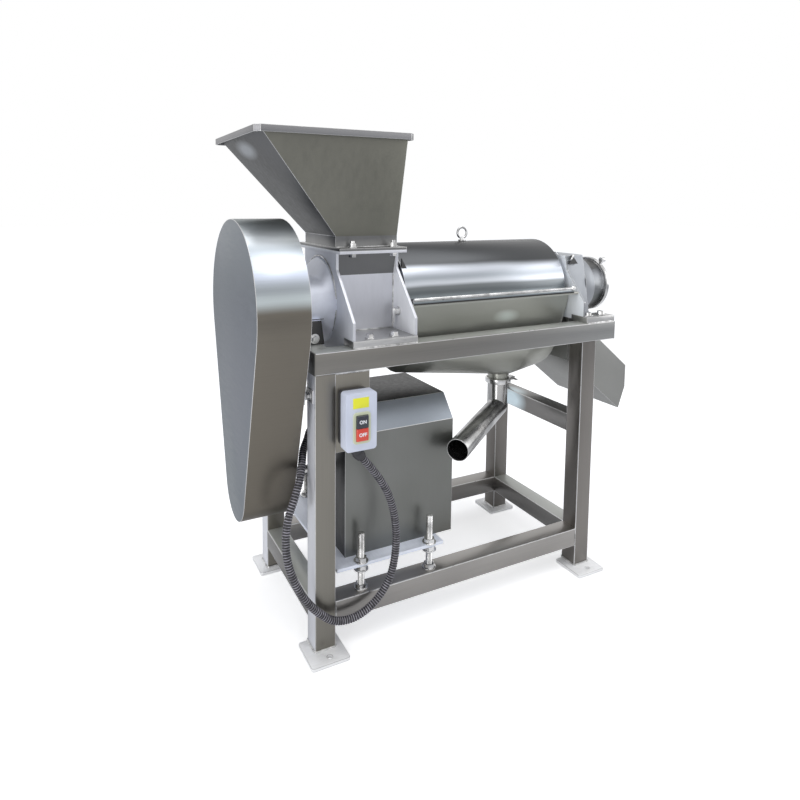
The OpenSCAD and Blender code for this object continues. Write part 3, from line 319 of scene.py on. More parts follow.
# Painted shade: the right posts get a darker copy of the post steel.
TUBE_Z_PALE = steel("right_post_painted_shade", grey(0.16, 0.06), grey(0.23, 0.06), ALONG_Z, marks=0.3)
# Painted highlight: bright rounded edges on the tubes and plates.
EDGE = steel("edge_painted_highlight", grey(0.55), grey(0.75), EVEN, rough=(0.25, 0.4))
WHITE_PLATE = steel("foot_plate_steel", grey(0.86), grey(0.98), ACROSS_PLATE, rough=(0.35, 0.5),
                    marks=0.3, metal=0.1)
MOTOR_PLATE = steel("motor_plate_steel", (0.78, 0.82, 0.92), (0.88, 0.92, 1.0), (300, 40, 300),
                    rough=(0.35, 0.5), marks=0.3, metal=0.1)
PLATE = steel("base_plate_steel", grey(0.42), grey(0.62), ACROSS_PLATE, rough=(0.3, 0.45))
BRIGHT = steel("bolt_steel", grey(0.42), grey(0.8), FINE, rough=(0.14, 0.28), cloud=24)
WELD = steel("weld_bead", grey(0.35), grey(0.75), (200, 200, 200), rough=(0.25, 0.45), cloud=60)
YOKE = steel("yoke_plate_steel", (0.56, 0.57, 0.61), (0.66, 0.67, 0.72), UP_YOKE,
             rough=(0.4, 0.52), cloud=3, marks=0.25, metal=0.8)
# Painted light: the left-facing faces of the two yoke plates get these paler, duller copies of the yoke
# steel.
YOKE_RIGHT = steel("yoke_right_painted_light", (0.82, 0.83, 0.86), (0.94, 0.95, 0.98), UP_YOKE,
                   rough=(0.42, 0.55), cloud=3, marks=0.25, metal=0.3)
YOKE_LEFT = steel("yoke_left_painted_light", (0.72, 0.74, 0.8), (0.84, 0.86, 0.92), UP_YOKE,
                  rough=(0.42, 0.55), cloud=3, marks=0.25, metal=0.3)
# Painted shade: the leaning front of the feed throat is darkened.
THROAT = steel("throat_painted_shade", (0.135, 0.137, 0.138), (0.16, 0.162, 0.165), UP_YOKE,
               rough=(0.36, 0.5), cloud=3, marks=0.25)
CASE_STEEL = steel("gear_case_steel", (0.76, 0.79, 0.88), (0.88, 0.91, 1.0), (40, 40, 40),
                   rough=(0.4, 0.52), cloud=4, marks=0.25, metal=0.25)
# Painted shade: the feet of the gear case are painted near black.
CASE_FOOT = steel("gear_case_foot_painted_shade", grey(0.03), grey(0.06), EVEN, rough=(0.4, 0.5), marks=0.25)
END_PLATE = steel("end_plate_steel", (0.3, 0.315, 0.34), (0.36, 0.375, 0.4), UP_YOKE,
                  rough=(0.42, 0.54), cloud=3, marks=0.2)
# Painted light: the left-facing faces of the end housing get this pale copy of its steel.
END_YOKE = steel("end_yoke_painted_light", (0.86, 0.9, 0.95), (0.94, 0.97, 1.0), UP_YOKE,
                 rough=(0.42, 0.54), cloud=3, marks=0.2, metal=0.3)
GUARD_FACE = steel("guard_face_steel", (0.2, 0.225, 0.245), (0.24, 0.255, 0.285), (14, 14, 90),
                   rough=(0.38, 0.5), marks=0.25)
# Painted reflections: bright and dark bands by height on the rim of the belt guard.
GUARD_RIM = banded_steel("guard_rim_painted_reflections", [
    (0.34, (0.17, 0.155, 0.13)), (0.96, (0.18, 0.165, 0.14)), (0.995, (0.48, 0.53, 0.55)),
    (1.02, (0.33, 0.36, 0.39)), (1.07, (0.7, 0.76, 0.9)), (1.115, (0.32, 0.35, 0.38)),
    (1.146, (0.75, 0.8, 0.84)), (1.19, (0.23, 0.26, 0.27))], rough=(0.3, 0.42))
HOPPER = steel("hopper_steel", (0.165, 0.165, 0.142), (0.2, 0.198, 0.172), UP_SHEET,
               rough=(0.36, 0.5), cloud=2.2, marks=0.2)
# Painted shade on the left-facing faces of the hopper, with a painted highlight patch near its top left.
HOPPER_LEFT = steel("hopper_left_painted_shade", (0.125, 0.125, 0.12), (0.16, 0.162, 0.165), UP_SHEET,
                    rough=(0.36, 0.5), cloud=2.2, marks=0.2,
                    glow=((-591, 50, 1382), (80, 95, 30), (0.42, 0.44, 0.46)))
HOPPER_NECK = steel("hopper_neck_steel", (0.17, 0.17, 0.165), (0.22, 0.222, 0.225), UP_SHEET,
                    rough=(0.3, 0.42), marks=0.25)
RIM = steel("rim_steel", (0.22, 0.22, 0.23), (0.3, 0.3, 0.31), ALONG_X, rough=(0.36, 0.5), marks=0.25)
# Painted reflections: bright and dark bands by height on the hood.
HOOD = banded_steel("hood_painted_reflections", [
    (0.945, (0.26, 0.29, 0.31)), (0.962, (0.14, 0.155, 0.165)), (0.976, (0.18, 0.195, 0.205)),
    (0.989, (0.56, 0.59, 0.64)), (1.006, (0.36, 0.39, 0.43)), (1.028, (0.56, 0.59, 0.65)),
    (1.05, (0.07, 0.073, 0.077)), (1.11, (0.03, 0.032, 0.035))], rough=(0.28, 0.38), marks=0.2)
# Tank steel with a painted highlight: a pale soft patch on the tank.
TANK = steel("tank_painted_highlight", (0.34, 0.345, 0.31), (0.4, 0.405, 0.37), (12, 60, 60), rough=(0.3, 0.42),
             cloud=3, marks=0.2, metal=0.75, glow=((195, -130, 872), (62, 60, 26), (0.7, 0.76, 0.72)))
PIPE = steel("pipe_steel", grey(0.24), grey(0.55), EVEN, rough=(0.16, 0.28), cloud=9, marks=0.3)
CHUTE = steel("chute_steel", (0.26, 0.262, 0.255), (0.31, 0.312, 0.3), FINE, rough=(0.4, 0.52), marks=0.25)
COVER = steel("cover_steel", (0.195, 0.2, 0.19), (0.225, 0.23, 0.222), UP_SHEET, rough=(0.34, 0.46),
              cloud=3, marks=0.2)
# Painted shade and light on the motor cover's faces: near black tops, dark left sides and paler bluish
# sloping bevels.
COVER_TOP = steel("cover_top_painted_shade", grey(0.012), grey(0.02), EVEN_SHEET, rough=(0.34, 0.46), marks=0.2)
COVER_SIDE = steel("cover_side_painted_shade", grey(0.07), grey(0.1), UP_SHEET, rough=(0.34, 0.46), marks=0.2)
COVER_BEVEL = steel("cover_bevel_painted_light", (0.25, 0.275, 0.31), (0.3, 0.33, 0.37), EVEN_SHEET,
                    rough=(0.34, 0.46), marks=0.2)
# Painted reflections: bands of tone by height on the end drum.
DRUM = banded_steel("drum_painted_reflections", [
    (0.86, (0.1, 0.1, 0.1)), (0.905, (0.14, 0.15, 0.15)), (0.935, (0.24, 0.25, 0.26)),
    (0.99, (0.22, 0.23, 0.25)), (1.015, (0.11, 0.11, 0.11)), (1.035, (0.07, 0.07, 0.07))],
    rough=(0.26, 0.36), grain=(5, 120, 120))
# Painted shade: the lug plates are painted dark.
DARK_LUG = steel("lug_painted_shade", grey(0.08), grey(0.13), FINE, rough=(0.34, 0.46))
GEAR = steel("gear_steel", grey(0.2), grey(0.32), EVEN)
IRON = moulded("pulley_iron", (0.05, 0.05, 0.055), (0.03, 0.03, 0.033), 0.5, 300, 0.3)
BELT = moulded("belt_rubber", (0.025, 0.025, 0.025), (0.015, 0.015, 0.015), 0.75, 700, 0.3)
MOTOR = moulded("motor_paint", (0.22, 0.46, 0.47), (0.17, 0.38, 0.4), 0.42, 260, 0.15, coat=0.2)
CASE = moulded("switch_cover_plastic", (0.62, 0.66, 0.77), (0.55, 0.59, 0.7), 0.42, 1200, 0.1)
CASE_BACK = moulded("switch_back_plastic", (0.035, 0.035, 0.04), (0.025, 0.025, 0.03), 0.5, 1200, 0.2)
BEZEL = moulded("bezel_plastic", (0.6, 0.64, 0.46), (0.52, 0.56, 0.4), 0.4, 900, 0.08)
LABEL = moulded("yellow_plate", (0.8, 0.8, 0.04), (0.74, 0.74, 0.03), 0.45, 400, 0.05)
ON_PLASTIC = moulded("on_button_plastic", (0.03, 0.035, 0.05), (0.02, 0.024, 0.035), 0.3, 900, 0.05,
                     coat=0.3)
OFF_PLASTIC = moulded("off_button_plastic", (0.72, 0.07, 0.035), (0.62, 0.05, 0.03), 0.32, 900, 0.05,
                      coat=0.3)
LETTER = moulded("letter_paint", (0.85, 0.86, 0.88), (0.8, 0.81, 0.84), 0.5, 900, 0.05)
GASKET = moulded("gasket_rubber", (0.03, 0.03, 0.03), (0.02, 0.02, 0.02), 0.7, 500, 0.2)

DUST_SCALE, DUST_SWING = 60, 0.12


def conduit_finish():
    """Dark ribs with a painted highlight on their pale crests: the pattern follows the tube's own rib
    attribute.
    """
    made = Finish("conduit_plastic")
    crest = made.node("ShaderNodeAttribute", attribute_name="rib_height").outputs["Fac"]
    dust = made.noise((DUST_SCALE,) * 3, SLOW_DETAIL)
    worn = made.spread(dust, NOISE_LOW, NOISE_HIGH, -DUST_SWING, DUST_SWING)
    # The pale crests are a painted highlight; the dust noise shifts its strength and the groove tone.
    made.colour(made.ramp(made.combine(crest, worn, "ADD"), [
        (0.1, (0.006, 0.006, 0.008)), (0.8, (0.022, 0.02, 0.026)), (1.0, (0.3, 0.29, 0.33))]))
    made.roughness(dust, 0.34, 0.5)
    made.bump(dust, 0.1, 0.0003)
    return made.material


CONDUIT = conduit_finish()


# Making pieces


def piece(name, bm, material, body, smooth=35, crease=True):
    """Turns a bmesh into a piece with one material or a list of them, and lets it ride on a body."""
    limit = math.radians(smooth)
    for face in bm.faces:
        face.smooth = True
    for edge in bm.edges:
        edge.smooth = not crease or len(edge.link_faces) == 2 and edge.calc_face_angle(0) < limit
    mesh = bpy.data.meshes.new(name)
    bm.to_mesh(mesh)
    bm.free()
    made = bpy.data.objects.new(name, mesh)
    bpy.context.scene.collection.objects.link(made)
    for each in material if isinstance(material, list) else [material]:
        mesh.materials.append(each)
    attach(made, body)
    return made


# A copy of a node is welded over this distance in metres, and faces flat within this angle are joined.
WELD_DISTANCE, FLAT_DEGREES = 2e-5, 0.4

# An edge runs along an axis when that share of its direction is above this.
STRAIGHT_ALONG = 0.99


def sharp_edges(bm, degrees):
    """The edges at which the surface turns by more than an angle."""
    limit = math.radians(degrees)
    return [e for e in bm.edges if len(e.link_faces) == 2 and e.calc_face_angle(0) > limit]


def round_off(bm, edges, radius, steps, material=-1):
    bmesh.ops.bevel(bm, geom=edges, offset=radius / 1000, offset_type="OFFSET", segments=steps,
                    profile=0.5, affect="EDGES", clamp_overlap=True, material=material)


def dressed(node, material, radius=0.8, edge=None, faces=(), along=None, sharp_above=28, steps=2):
    """A welded copy of a node with its sharp edges rounded to a radius in millimetres.

    edge is the finish of the rounded edges, a painted highlight where it is given, faces gives other
    finishes to the faces that a test picks out, and along keeps the edges of one axis only."""
    bm = bmesh.new()
    bm.from_mesh(frame["nodes"][node].data)
    bmesh.ops.remove_doubles(bm, verts=bm.verts, dist=WELD_DISTANCE)
    bmesh.ops.dissolve_limit(bm, angle_limit=math.radians(FLAT_DEGREES), verts=bm.verts, edges=bm.edges)
    sharp = sharp_edges(bm, sharp_above)
    if along is not None:
        sharp = [e for e in sharp
                 if abs((e.verts[0].co - e.verts[1].co).normalized()[along]) > STRAIGHT_ALONG]
    finishes = [material]
    if edge:
        finishes.append(edge)
    if radius:
        round_off(bm, sharp, radius, steps, 1 if edge else -1)
    for test, other in faces:
        finishes.append(other)
        for face in bm.faces:
            if face.material_index == 0 and test(face):
                face.material_index = len(finishes) - 1
    bmesh.ops.triangulate(bm, faces=[f for f in bm.faces if len(f.verts) > 4])
    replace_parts(piece(node + "_finished", bm, finishes, BODY_OF[node]), node)


# Faces that look along an axis have at least this share of their normal on it.
LOOKING = 0.9


def faces_up(face):
    return face.normal.z > LOOKING


def faces_left(face):
    return face.normal.x < -LOOKING


def box_into(bm, low, high):
    """A box between two corners, given from the frame's corner in millimetres."""
    low, high = spot(*low), spot(*high)
    grown = bmesh.ops.create_cube(bm, size=1)["verts"]
    bmesh.ops.scale(bm, vec=high - low, verts=grown)
    bmesh.ops.translate(bm, vec=(low + high) / 2, verts=grown)
    return grown


def bar(bm, start, end, radius, sides, tip=None):
    """A round bar between two places in metres, or a cone with another radius at its tip."""
    line = end - start
    grown = bmesh.ops.create_cone(bm, cap_ends=True, segments=sides, radius1=radius / 1000,
                                  radius2=(radius if tip is None else tip) / 1000,
                                  depth=line.length)["verts"]
    bmesh.ops.rotate(bm, cent=(0, 0, 0), matrix=line.to_track_quat("Z", "Y").to_matrix(), verts=grown)
    bmesh.ops.translate(bm, vec=(start + end) / 2, verts=grown)


def rod_into(bm, start, end, radius, sides=24, tip=None):
    """A bar between two places given from the frame's corner in millimetres."""
    bar(bm, spot(*start), spot(*end), radius, sides, tip)


def strip(bm, one, two):
    """Faces between two rings of points."""
    made = []
    for k in range(len(one)):
        j = (k + 1) % len(one)
        made.append(bm.faces.new((one[k], one[j], two[j], two[k])))
    return made


def round_edges(bm, radius, steps, sharp_above=28):
    round_off(bm, sharp_edges(bm, sharp_above), radius, steps)


# The ribbed conduit

CONDUIT_RADIUS = 11
RIB_COUNT = 190
RIB_RINGS = 6
RIB_DEPTH = 1.9
RIB_ROUNDING = 0.6
CONDUIT_SIDES = 18

# Middle of the conduit from the switch box's gland to the motor's terminal box
CONDUIT_ROUTE = [
    (117.70, -30, 557.78),
    (132, -30, 540), (157, -30, 509), (184, -30, 470), (208, -30, 424), (224, -30, 368),
    (231, -30, 310), (228, -30, 248), (214, -30, 192), (184, -30, 145), (142, -30, 113),
    (92, -30, 100), (42, -30, 110), (-2, -28, 145), (-38, -26, 190), (-65, -22, 242),
    (-82, -15, 300), (-84, -6, 358), (-73, 2, 412), (-51, 14, 457), (-30, 35, 492),
    (-13.5, 64, 521), (2, 95, 545), (25, 125, 564), (39, 146.5, 574), (57, 165, 582), (79, 179, 587),
    (103, 187, 590), (128, 190, 590), (140, 190, 590),
]


def route_point(points, s):
    """A smooth curve through the points: s counts them."""
    i = min(int(s), len(points) - 2)
    t = s - i
    a, b, c, d = (points[min(max(k, 0), len(points) - 1)] for k in (i - 1, i, i + 1, i + 2))
    return 0.5 * (2 * b + (c - a) * t + (2 * a - 5 * b + 4 * c - d) * t * t
                  + (3 * b - a - 3 * c + d) * t ** 3)


CURVE_STEPS = 4000


def even_path(points, count):
    """Points at equal steps along the smooth curve, and its length."""
    fine = [route_point(points, k * (len(points) - 1) / CURVE_STEPS) for k in range(CURVE_STEPS + 1)]
    run = [0.0]
    for a, b in zip(fine, fine[1:]):
        run.append(run[-1] + (b - a).length)
    path, k = [], 0
    for n in range(count):
        goal = run[-1] * n / (count - 1)
        while k < len(run) - 2 and run[k + 1] < goal:
            k += 1
        share = (goal - run[k]) / max(run[k + 1] - run[k], 1e-9)
        path.append(fine[k].lerp(fine[k + 1], min(share, 1)))
    return path, run[-1]


def sweep(bm, path, radii, sides, heights=None):
    """Sweeps a closed round wall along the path, with a radius for each of its points.

    heights fills the rib_height attribute: 1 on a crest and 0 in a groove."""
    layer = bm.verts.layers.float.new("rib_height") if heights else None
    turns = [2 * math.pi * k / sides for k in range(sides)]
    circle = [(math.cos(a), math.sin(a)) for a in turns]
    upright, last, walls = None, None, []
    for n, centre in enumerate(path):
        ahead = (path[min(n + 1, len(path) - 1)] - path[max(n - 1, 0)]).normalized()
        if upright is None:
            upright = ahead.orthogonal().normalized()
        upright = (upright - ahead * upright.dot(ahead)).normalized()
        side = ahead.cross(upright)
        row = [bm.verts.new(centre + radii[n] * (c * upright + s * side)) for c, s in circle]
        if layer:
            for vert in row:
                vert[layer] = heights[n]
        if last:
            walls += strip(bm, last, row)
        else:
            first = row
        last = row
    walls.append(bm.faces.new(list(reversed(first))))
    walls.append(bm.faces.new(last))
    bmesh.ops.recalc_face_normals(bm, faces=walls)


def rib_height(n):
    return (0.5 + 0.5 * math.cos(2 * math.pi * n / RIB_RINGS)) ** RIB_ROUNDING


route = [spot(*p) for p in CONDUIT_ROUTE]
conduit_path, conduit_length = even_path(route, RIB_COUNT * RIB_RINGS + 1)
rib_heights = [rib_height(n) for n in range(len(conduit_path))]
rib_radii = [(CONDUIT_RADIUS - RIB_DEPTH * (1 - h)) / 1000 for h in rib_heights]
conduit_bm = bmesh.new()
sweep(conduit_bm, conduit_path, rib_radii, CONDUIT_SIDES, rib_heights)
conduit = piece("conduit_ribs", conduit_bm, CONDUIT, "machine", crease=False)
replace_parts(conduit, "conduit")


# Studio

BACKGROUND_WHITE = 1.0
SKY_COLOUR, SKY_STRENGTH = (0.93, 0.95, 1.0, 1), 0.62
FLOOR_HALF, FLOOR_Z = 30, -0.0005
FLOOR_DARK, FLOOR_PALE, FLOOR_GLOW = (0.9,) * 3, (0.93,) * 3, 0.5


def studio_world():
    """A cool sky lights the machine, while the camera, metal and glass see plain white."""
    world = bpy.data.worlds.new("studio")
    bpy.context.scene.world = world
    world.use_nodes = True
    made = Nodes(world.node_tree)
    made.tree.nodes.clear()
    rays = made.node("ShaderNodeLightPath").outputs
    seen = made.combine(rays["Is Camera Ray"], rays["Is Glossy Ray"], "MAXIMUM")
    seen = made.combine(seen, rays["Is Transmission Ray"], "MAXIMUM")
    mixed = made.node("ShaderNodeMixShader")
    made.join(seen, mixed.inputs[0])
    skies = ((SKY_COLOUR, SKY_STRENGTH), ((1, 1, 1, 1), BACKGROUND_WHITE))
    for socket, (colour, strength) in zip(mixed.inputs[1:], skies):
        sky = made.node("ShaderNodeBackground")
        sky.inputs["Color"].default_value = colour
        sky.inputs["Strength"].default_value = strength
        made.join(sky.outputs[0], socket)
    made.join(mixed.outputs[0], made.node("ShaderNodeOutputWorld").inputs[0])


def studio_floor():
    bm = bmesh.new()
    bmesh.ops.create_grid(bm, x_segments=1, y_segments=1, size=FLOOR_HALF)
    mesh = bpy.data.meshes.new("studio_floor")
    bm.to_mesh(mesh)
    bm.free()
    floor = bpy.data.objects.new("studio_floor", mesh)
    floor.location.z = FLOOR_Z
    bpy.context.scene.collection.objects.link(floor)
    made = Finish("studio_floor")
    mottle = made.noise((1.5,) * 3, CLOUD_DETAIL)
    made.colour(made.mix(made.spread(mottle, NOISE_LOW, NOISE_HIGH), FLOOR_DARK, FLOOR_PALE))
    made.set(Roughness=0.9, Specular_IOR_Level=0.0, Emission_Color=(1, 1, 1, 1))
    camera_ray = made.node("ShaderNodeLightPath").outputs["Is Camera Ray"]
    glow = made.combine(camera_ray, FLOOR_GLOW, "MULTIPLY")
    made.join(glow, made.shader.inputs["Emission Strength"])
    mesh.materials.append(made.material)


def lamp(name, place, aim, size, power):
    """A rectangular lamp: place, aim and size in metres, power in watts."""
    light = bpy.data.lights.new(name, "AREA")
    light.shape = "RECTANGLE"
    light.size, light.size_y = size
    light.energy = power
    made = bpy.data.objects.new(name, light)
    made.location = place
    made.rotation_euler = (Vector(aim) - Vector(place)).to_track_quat("-Z", "Y").to_euler()
    bpy.context.scene.collection.objects.link(made)


studio_world()
studio_floor()
lamp("overhead_lamp", (0.3, -0.4, 3.4), (0.0, 0.0, 0.8), (2.6, 2.2), 42)
lamp("left_lamp", (-3.1, -0.9, 1.6), (0, 0, 0.7), (1.8, 2.2), 28)
lamp("low_left_lamp", (-2.6, -2.2, 0.5), (-0.5, -0.2, 0.4), (1.0, 1.0), 12)
lamp("right_lamp", (3.0, -1.4, 1.7), (0.2, 0, 0.8), (1.4, 2.0), 16)
bpy.context.scene.view_settings.view_transform = "Standard"


# Small parts that are drawn here alone

WELD_STEP = 0.0026
WELD_SWELL, WELD_WAIST, WELD_END = 1.12, 0.88, 0.5
WELD_SIDES = 8


def weld(bm, start, end, radius=2.6):
    """A bead of weld between two places, rippled along its run."""
    start, end = spot(*start), spot(*end)
    count = max(6, int((end - start).length / WELD_STEP))
    path = [start.lerp(end, k / count) for k in range(count + 1)]
    radii = [radius / 1000 * (WELD_SWELL if k % 2 else WELD_WAIST) for k in range(count + 1)]
    radii[0] = radii[-1] = radius / 1000 * WELD_END
    sweep(bm, path, radii, WELD_SIDES)


HEAD_SHOULDER, HEAD_CHAMFER = 0.8, 0.88


def hexagon_into(bm, foot, top, radius):
    """A hexagon head with a chamfered top."""
    shoulder = [f + HEAD_SHOULDER * (t - f) for f, t in zip(foot, top)]
    rod_into(bm, foot, shoulder, radius, 6)
    rod_into(bm, shoulder, top, radius, 6, tip=radius * HEAD_CHAMFER)


def threaded_rod(bm, foot, top, radius, pitch=2.5, depth=0.9, sides=20):
    """A screw's thread drawn as rings, with a rounded top."""
    foot, top = spot(*foot), spot(*top)
    count = int((top - foot).length * 1000 / (pitch / 2))
    path = [foot.lerp(top, k / count) for k in range(count + 1)]
    radii = [(radius - (depth if k % 2 else 0)) / 1000 for k in range(count + 1)]
    radii[-2:] = [radius * 0.8 / 1000, radius * 0.45 / 1000]
    sweep(bm, path, radii, sides)


def plate_lug(name, corners, y0, y1, body):
    """A three-cornered plate between two depths, darkened with painted shade: each corner is a place
    across and a height.
    """
    bm = bmesh.new()
    near, far = ([bm.verts.new(spot(x, y, z)) for x, z in corners] for y in (y0, y1))
    bm.faces.new(near)
    bm.faces.new(list(reversed(far)))
    strip(bm, far, near)
    bmesh.ops.recalc_face_normals(bm, faces=bm.faces)
    piece(name, bm, DARK_LUG, body)


# Frame and feet

X_EDGES, Y_EDGES, Z_EDGES = 0, 1, 2
TUBE_ROUND = 2.2
for name in ("top_beam_front", "top_beam_rear"):
    dressed(name, TUBE_X, TUBE_ROUND, EDGE, along=X_EDGES, faces=[(faces_up, BEAM_TOP)])
for name in ("low_beam_front", "low_beam_rear"):
    dressed(name, LOW_TUBE_X, TUBE_ROUND, EDGE, along=X_EDGES)
for name in ("top_cross_left", "low_beam_left", "low_beam_right"):
    dressed(name, TUBE_Y, TUBE_ROUND, EDGE, along=Y_EDGES, faces=[(faces_up, BEAM_TOP)])
dressed("cross_beam_right", TUBE_PATCHED, TUBE_ROUND, EDGE, along=Y_EDGES)
for name in ("post_front_left", "post_rear_left"):
    dressed(name, TUBE_Z, TUBE_ROUND, EDGE, along=Z_EDGES, faces=[(faces_left, POST_SIDE)])
for name in ("post_front_right", "post_rear_right"):
    dressed(name, TUBE_Z_PALE, TUBE_ROUND, EDGE, along=Z_EDGES)
dressed("beam_end_caps", TUBE_X, 0.8)
dressed("foot_plates", WHITE_PLATE, 1.2, EDGE)
dressed("motor_base_plate", MOTOR_PLATE, 1.0, EDGE)
dressed("switch_bracket", TUBE_Z, 0.8, EDGE)

# Seams round the foot of each post, where the low beams meet the posts, over the switch bracket
# and where the cross beams meet the front beam
FOOT_SEAM_Z, FOOT_SEAM_OUT = 11.5, 1.5
BRACKET_SEAM_Y, BRACKET_SEAM_END = 3.5, 161
CROSS_SEAM_LEFT, CROSS_SEAM_RIGHT = 5, 946
TOP_BEAM_Z = FRAME_H - TUBE
seams = bmesh.new()
for x in (0, FRAME_L - TUBE):
    for y in (0, FRAME_W - TUBE):
        for out in (-FOOT_SEAM_OUT, TUBE + FOOT_SEAM_OUT):
            weld(seams, (x, y + out, FOOT_SEAM_Z), (x + TUBE, y + out, FOOT_SEAM_Z))
        for out in (-FOOT_SEAM_OUT, TUBE + FOOT_SEAM_OUT):
            weld(seams, (x + out, y, FOOT_SEAM_Z), (x + out, y + TUBE, FOOT_SEAM_Z))
for x in (TUBE + 0.8, FRAME_L - TUBE - 0.8):
    for y in (-0.3, FRAME_W + 0.3):
        weld(seams, (x, y, LOW_BEAM_Z + 2), (x, y, LOW_BEAM_Z + TUBE - 2), 1.6)
weld(seams, (TUBE + 2, BRACKET_SEAM_Y, TOP_BEAM_Z - 1.5),
     (BRACKET_SEAM_END, BRACKET_SEAM_Y, TOP_BEAM_Z - 1.5), 2.4)
for x in (CROSS_SEAM_LEFT, CROSS_SEAM_RIGHT):
    weld(seams, (x, TUBE + 0.3, TOP_BEAM_Z + 1), (x, TUBE + 0.3, FRAME_H - 2), 1.6)
piece("frame_welds", seams, WELD, "machine")

# Drive

CASE_FOOT_TOP, CASE_FOOT_RIGHT = 904.5, 70
BEVEL_LOW, BEVEL_FRONT = 0.3, -0.3


def foot_of_case(face):
    middle = middle_of(face)
    return middle.z < CASE_FOOT_TOP and middle.x < CASE_FOOT_RIGHT and face.normal.z < LOOKING


def cover_bevel(face):
    return BEVEL_LOW < face.normal.z < LOOKING and face.normal.y < BEVEL_FRONT


dressed("belt_guard", GUARD_RIM, 1.2, EDGE, faces=[(faces_left, GUARD_FACE)])
dressed("guard_back_plate", GUARD_FACE, 0)
dressed("guard_brackets", PLATE, 1.0, EDGE)
dressed("v_belts", BELT, 0)
dressed("auger_pulley", IRON, 0.8)
dressed("motor_pulley", IRON, 0.8)
dressed("gear_case", CASE_STEEL, 1.2, EDGE, faces=[(foot_of_case, CASE_FOOT)], sharp_above=40)
for name in ("timing_gear_front", "timing_gear_rear"):
    dressed(name, GEAR, 0)
for name in ("shaft_bearings", "auger_shaft_front", "auger_shaft_rear", "motor_shaft", "hinge_pins"):
    dressed(name, BRIGHT, 0.6)
dressed("motor_cover", COVER, 0.9, EDGE, faces=[
    (faces_up, COVER_TOP), (faces_left, COVER_SIDE), (cover_bevel, COVER_BEVEL)])

# A bolt in each of the guard's three brackets, and in the front and rear of the gear case's foot
BRACKET_BOLT_X, CASE_BOLT_X, CASE_BOLT_Z = -4, 38, 857
BRACKET_WASHER, BRACKET_HEAD, BRACKET_HEAD_H = 13, 9, 7
CASE_WASHER, CASE_HEAD, CASE_HEAD_H = 14, 10, 8
WASHER_T = 2
bolts = bmesh.new()
for y, z in ((30, 722), (170, 810), (270, 810)):
    washer = (BRACKET_BOLT_X - WASHER_T, y, z)
    rod_into(bolts, (BRACKET_BOLT_X, y, z), washer, BRACKET_WASHER)
    hexagon_into(bolts, washer, (washer[0] - BRACKET_HEAD_H, y, z), BRACKET_HEAD)
for y, out in ((99, -1), (401, 1)):
    washer = (CASE_BOLT_X, y + WASHER_T * out, CASE_BOLT_Z)
    rod_into(bolts, (CASE_BOLT_X, y, CASE_BOLT_Z), washer, CASE_WASHER)
    hexagon_into(bolts, washer, (CASE_BOLT_X, washer[1] + CASE_HEAD_H * out, CASE_BOLT_Z), CASE_HEAD)
piece("bracket_bolts", bolts, BRIGHT, "machine")

# The motor's rounds, each from one place on its axis to another with the radius at both
MOTOR_AXIS = (190, 443)
MOTOR_ROOT, MOTOR_FLANGE, MOTOR_HOOD, MOTOR_HOOD_TIP = 104, 115, 111, 99
MOTOR_ROUNDS = (
    (140, 160, MOTOR_FLANGE, MOTOR_FLANGE), (160, 372, MOTOR_ROOT, MOTOR_ROOT),
    (372, 390, MOTOR_FLANGE, MOTOR_FLANGE), (390, 446, MOTOR_HOOD, MOTOR_HOOD),
    (446, 456, MOTOR_HOOD, MOTOR_HOOD_TIP))
MOTOR_SIDES = 64
FIN_COUNT, FIN_HALF, FIN_START, FIN_END = 44, 1.3, 158, 374

# Its foot plate, two saddles and the three layers of the terminal box
MOTOR_BOXES = (
    ((165, 95, 218), (365, 285, 232)),
    ((175, 98, 230), (195, 282, 300)), ((175, 142, 298), (195, 238, 360)),
    ((335, 98, 230), (355, 282, 300)), ((335, 142, 298), (355, 238, 360)),
    ((160, 145, 540), (250, 235, 560)), ((164, 149, 558), (246, 231, 612)),
    ((160, 145, 610), (250, 235, 620)))
INLET_START, INLET_END, INLET_Y, INLET_Z, INLET_RADIUS = 144, 165, 190, 590, 15
FLANGE_BOLTS, FLANGE_BOLT_RING, FLANGE_BOLT_TURN, FLANGE_BOLT_RADIUS = 8, 86, 22, 8
FLANGE_BOLT_TOP, FLANGE_BOLT_FOOT = 138.6, 141


def on_flange(x, turn):
    a = math.radians(turn)
    return (x, MOTOR_AXIS[0] + FLANGE_BOLT_RING * math.cos(a),
            MOTOR_AXIS[1] + FLANGE_BOLT_RING * math.sin(a))


motor = bmesh.new()
for start, end, radius, tip in MOTOR_ROUNDS:
    rod_into(motor, (start, *MOTOR_AXIS), (end, *MOTOR_AXIS), radius, MOTOR_SIDES, tip)
for k in range(FIN_COUNT):
    grown = box_into(motor, (FIN_START, MOTOR_AXIS[0] - FIN_HALF, MOTOR_AXIS[1] + MOTOR_ROOT - 2),
                     (FIN_END, MOTOR_AXIS[0] + FIN_HALF, MOTOR_AXIS[1] + MOTOR_FLANGE - 1))
    bmesh.ops.rotate(motor, cent=spot(0, *MOTOR_AXIS), verts=grown,
                     matrix=Matrix.Rotation(2 * math.pi * k / FIN_COUNT, 3, "X"))
for low, high in MOTOR_BOXES:
    box_into(motor, low, high)
rod_into(motor, (INLET_START, INLET_Y, INLET_Z), (INLET_END, INLET_Y, INLET_Z), INLET_RADIUS, 6)
for k in range(FLANGE_BOLTS):
    turn = 360 / FLANGE_BOLTS * k + FLANGE_BOLT_TURN
    rod_into(motor, on_flange(FLANGE_BOLT_FOOT, turn), on_flange(FLANGE_BOLT_TOP, turn),
             FLANGE_BOLT_RADIUS, 6)
round_edges(motor, 0.8, 2, sharp_above=40)
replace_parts(piece("motor_finished", motor, MOTOR, "machine"), "motor_body")

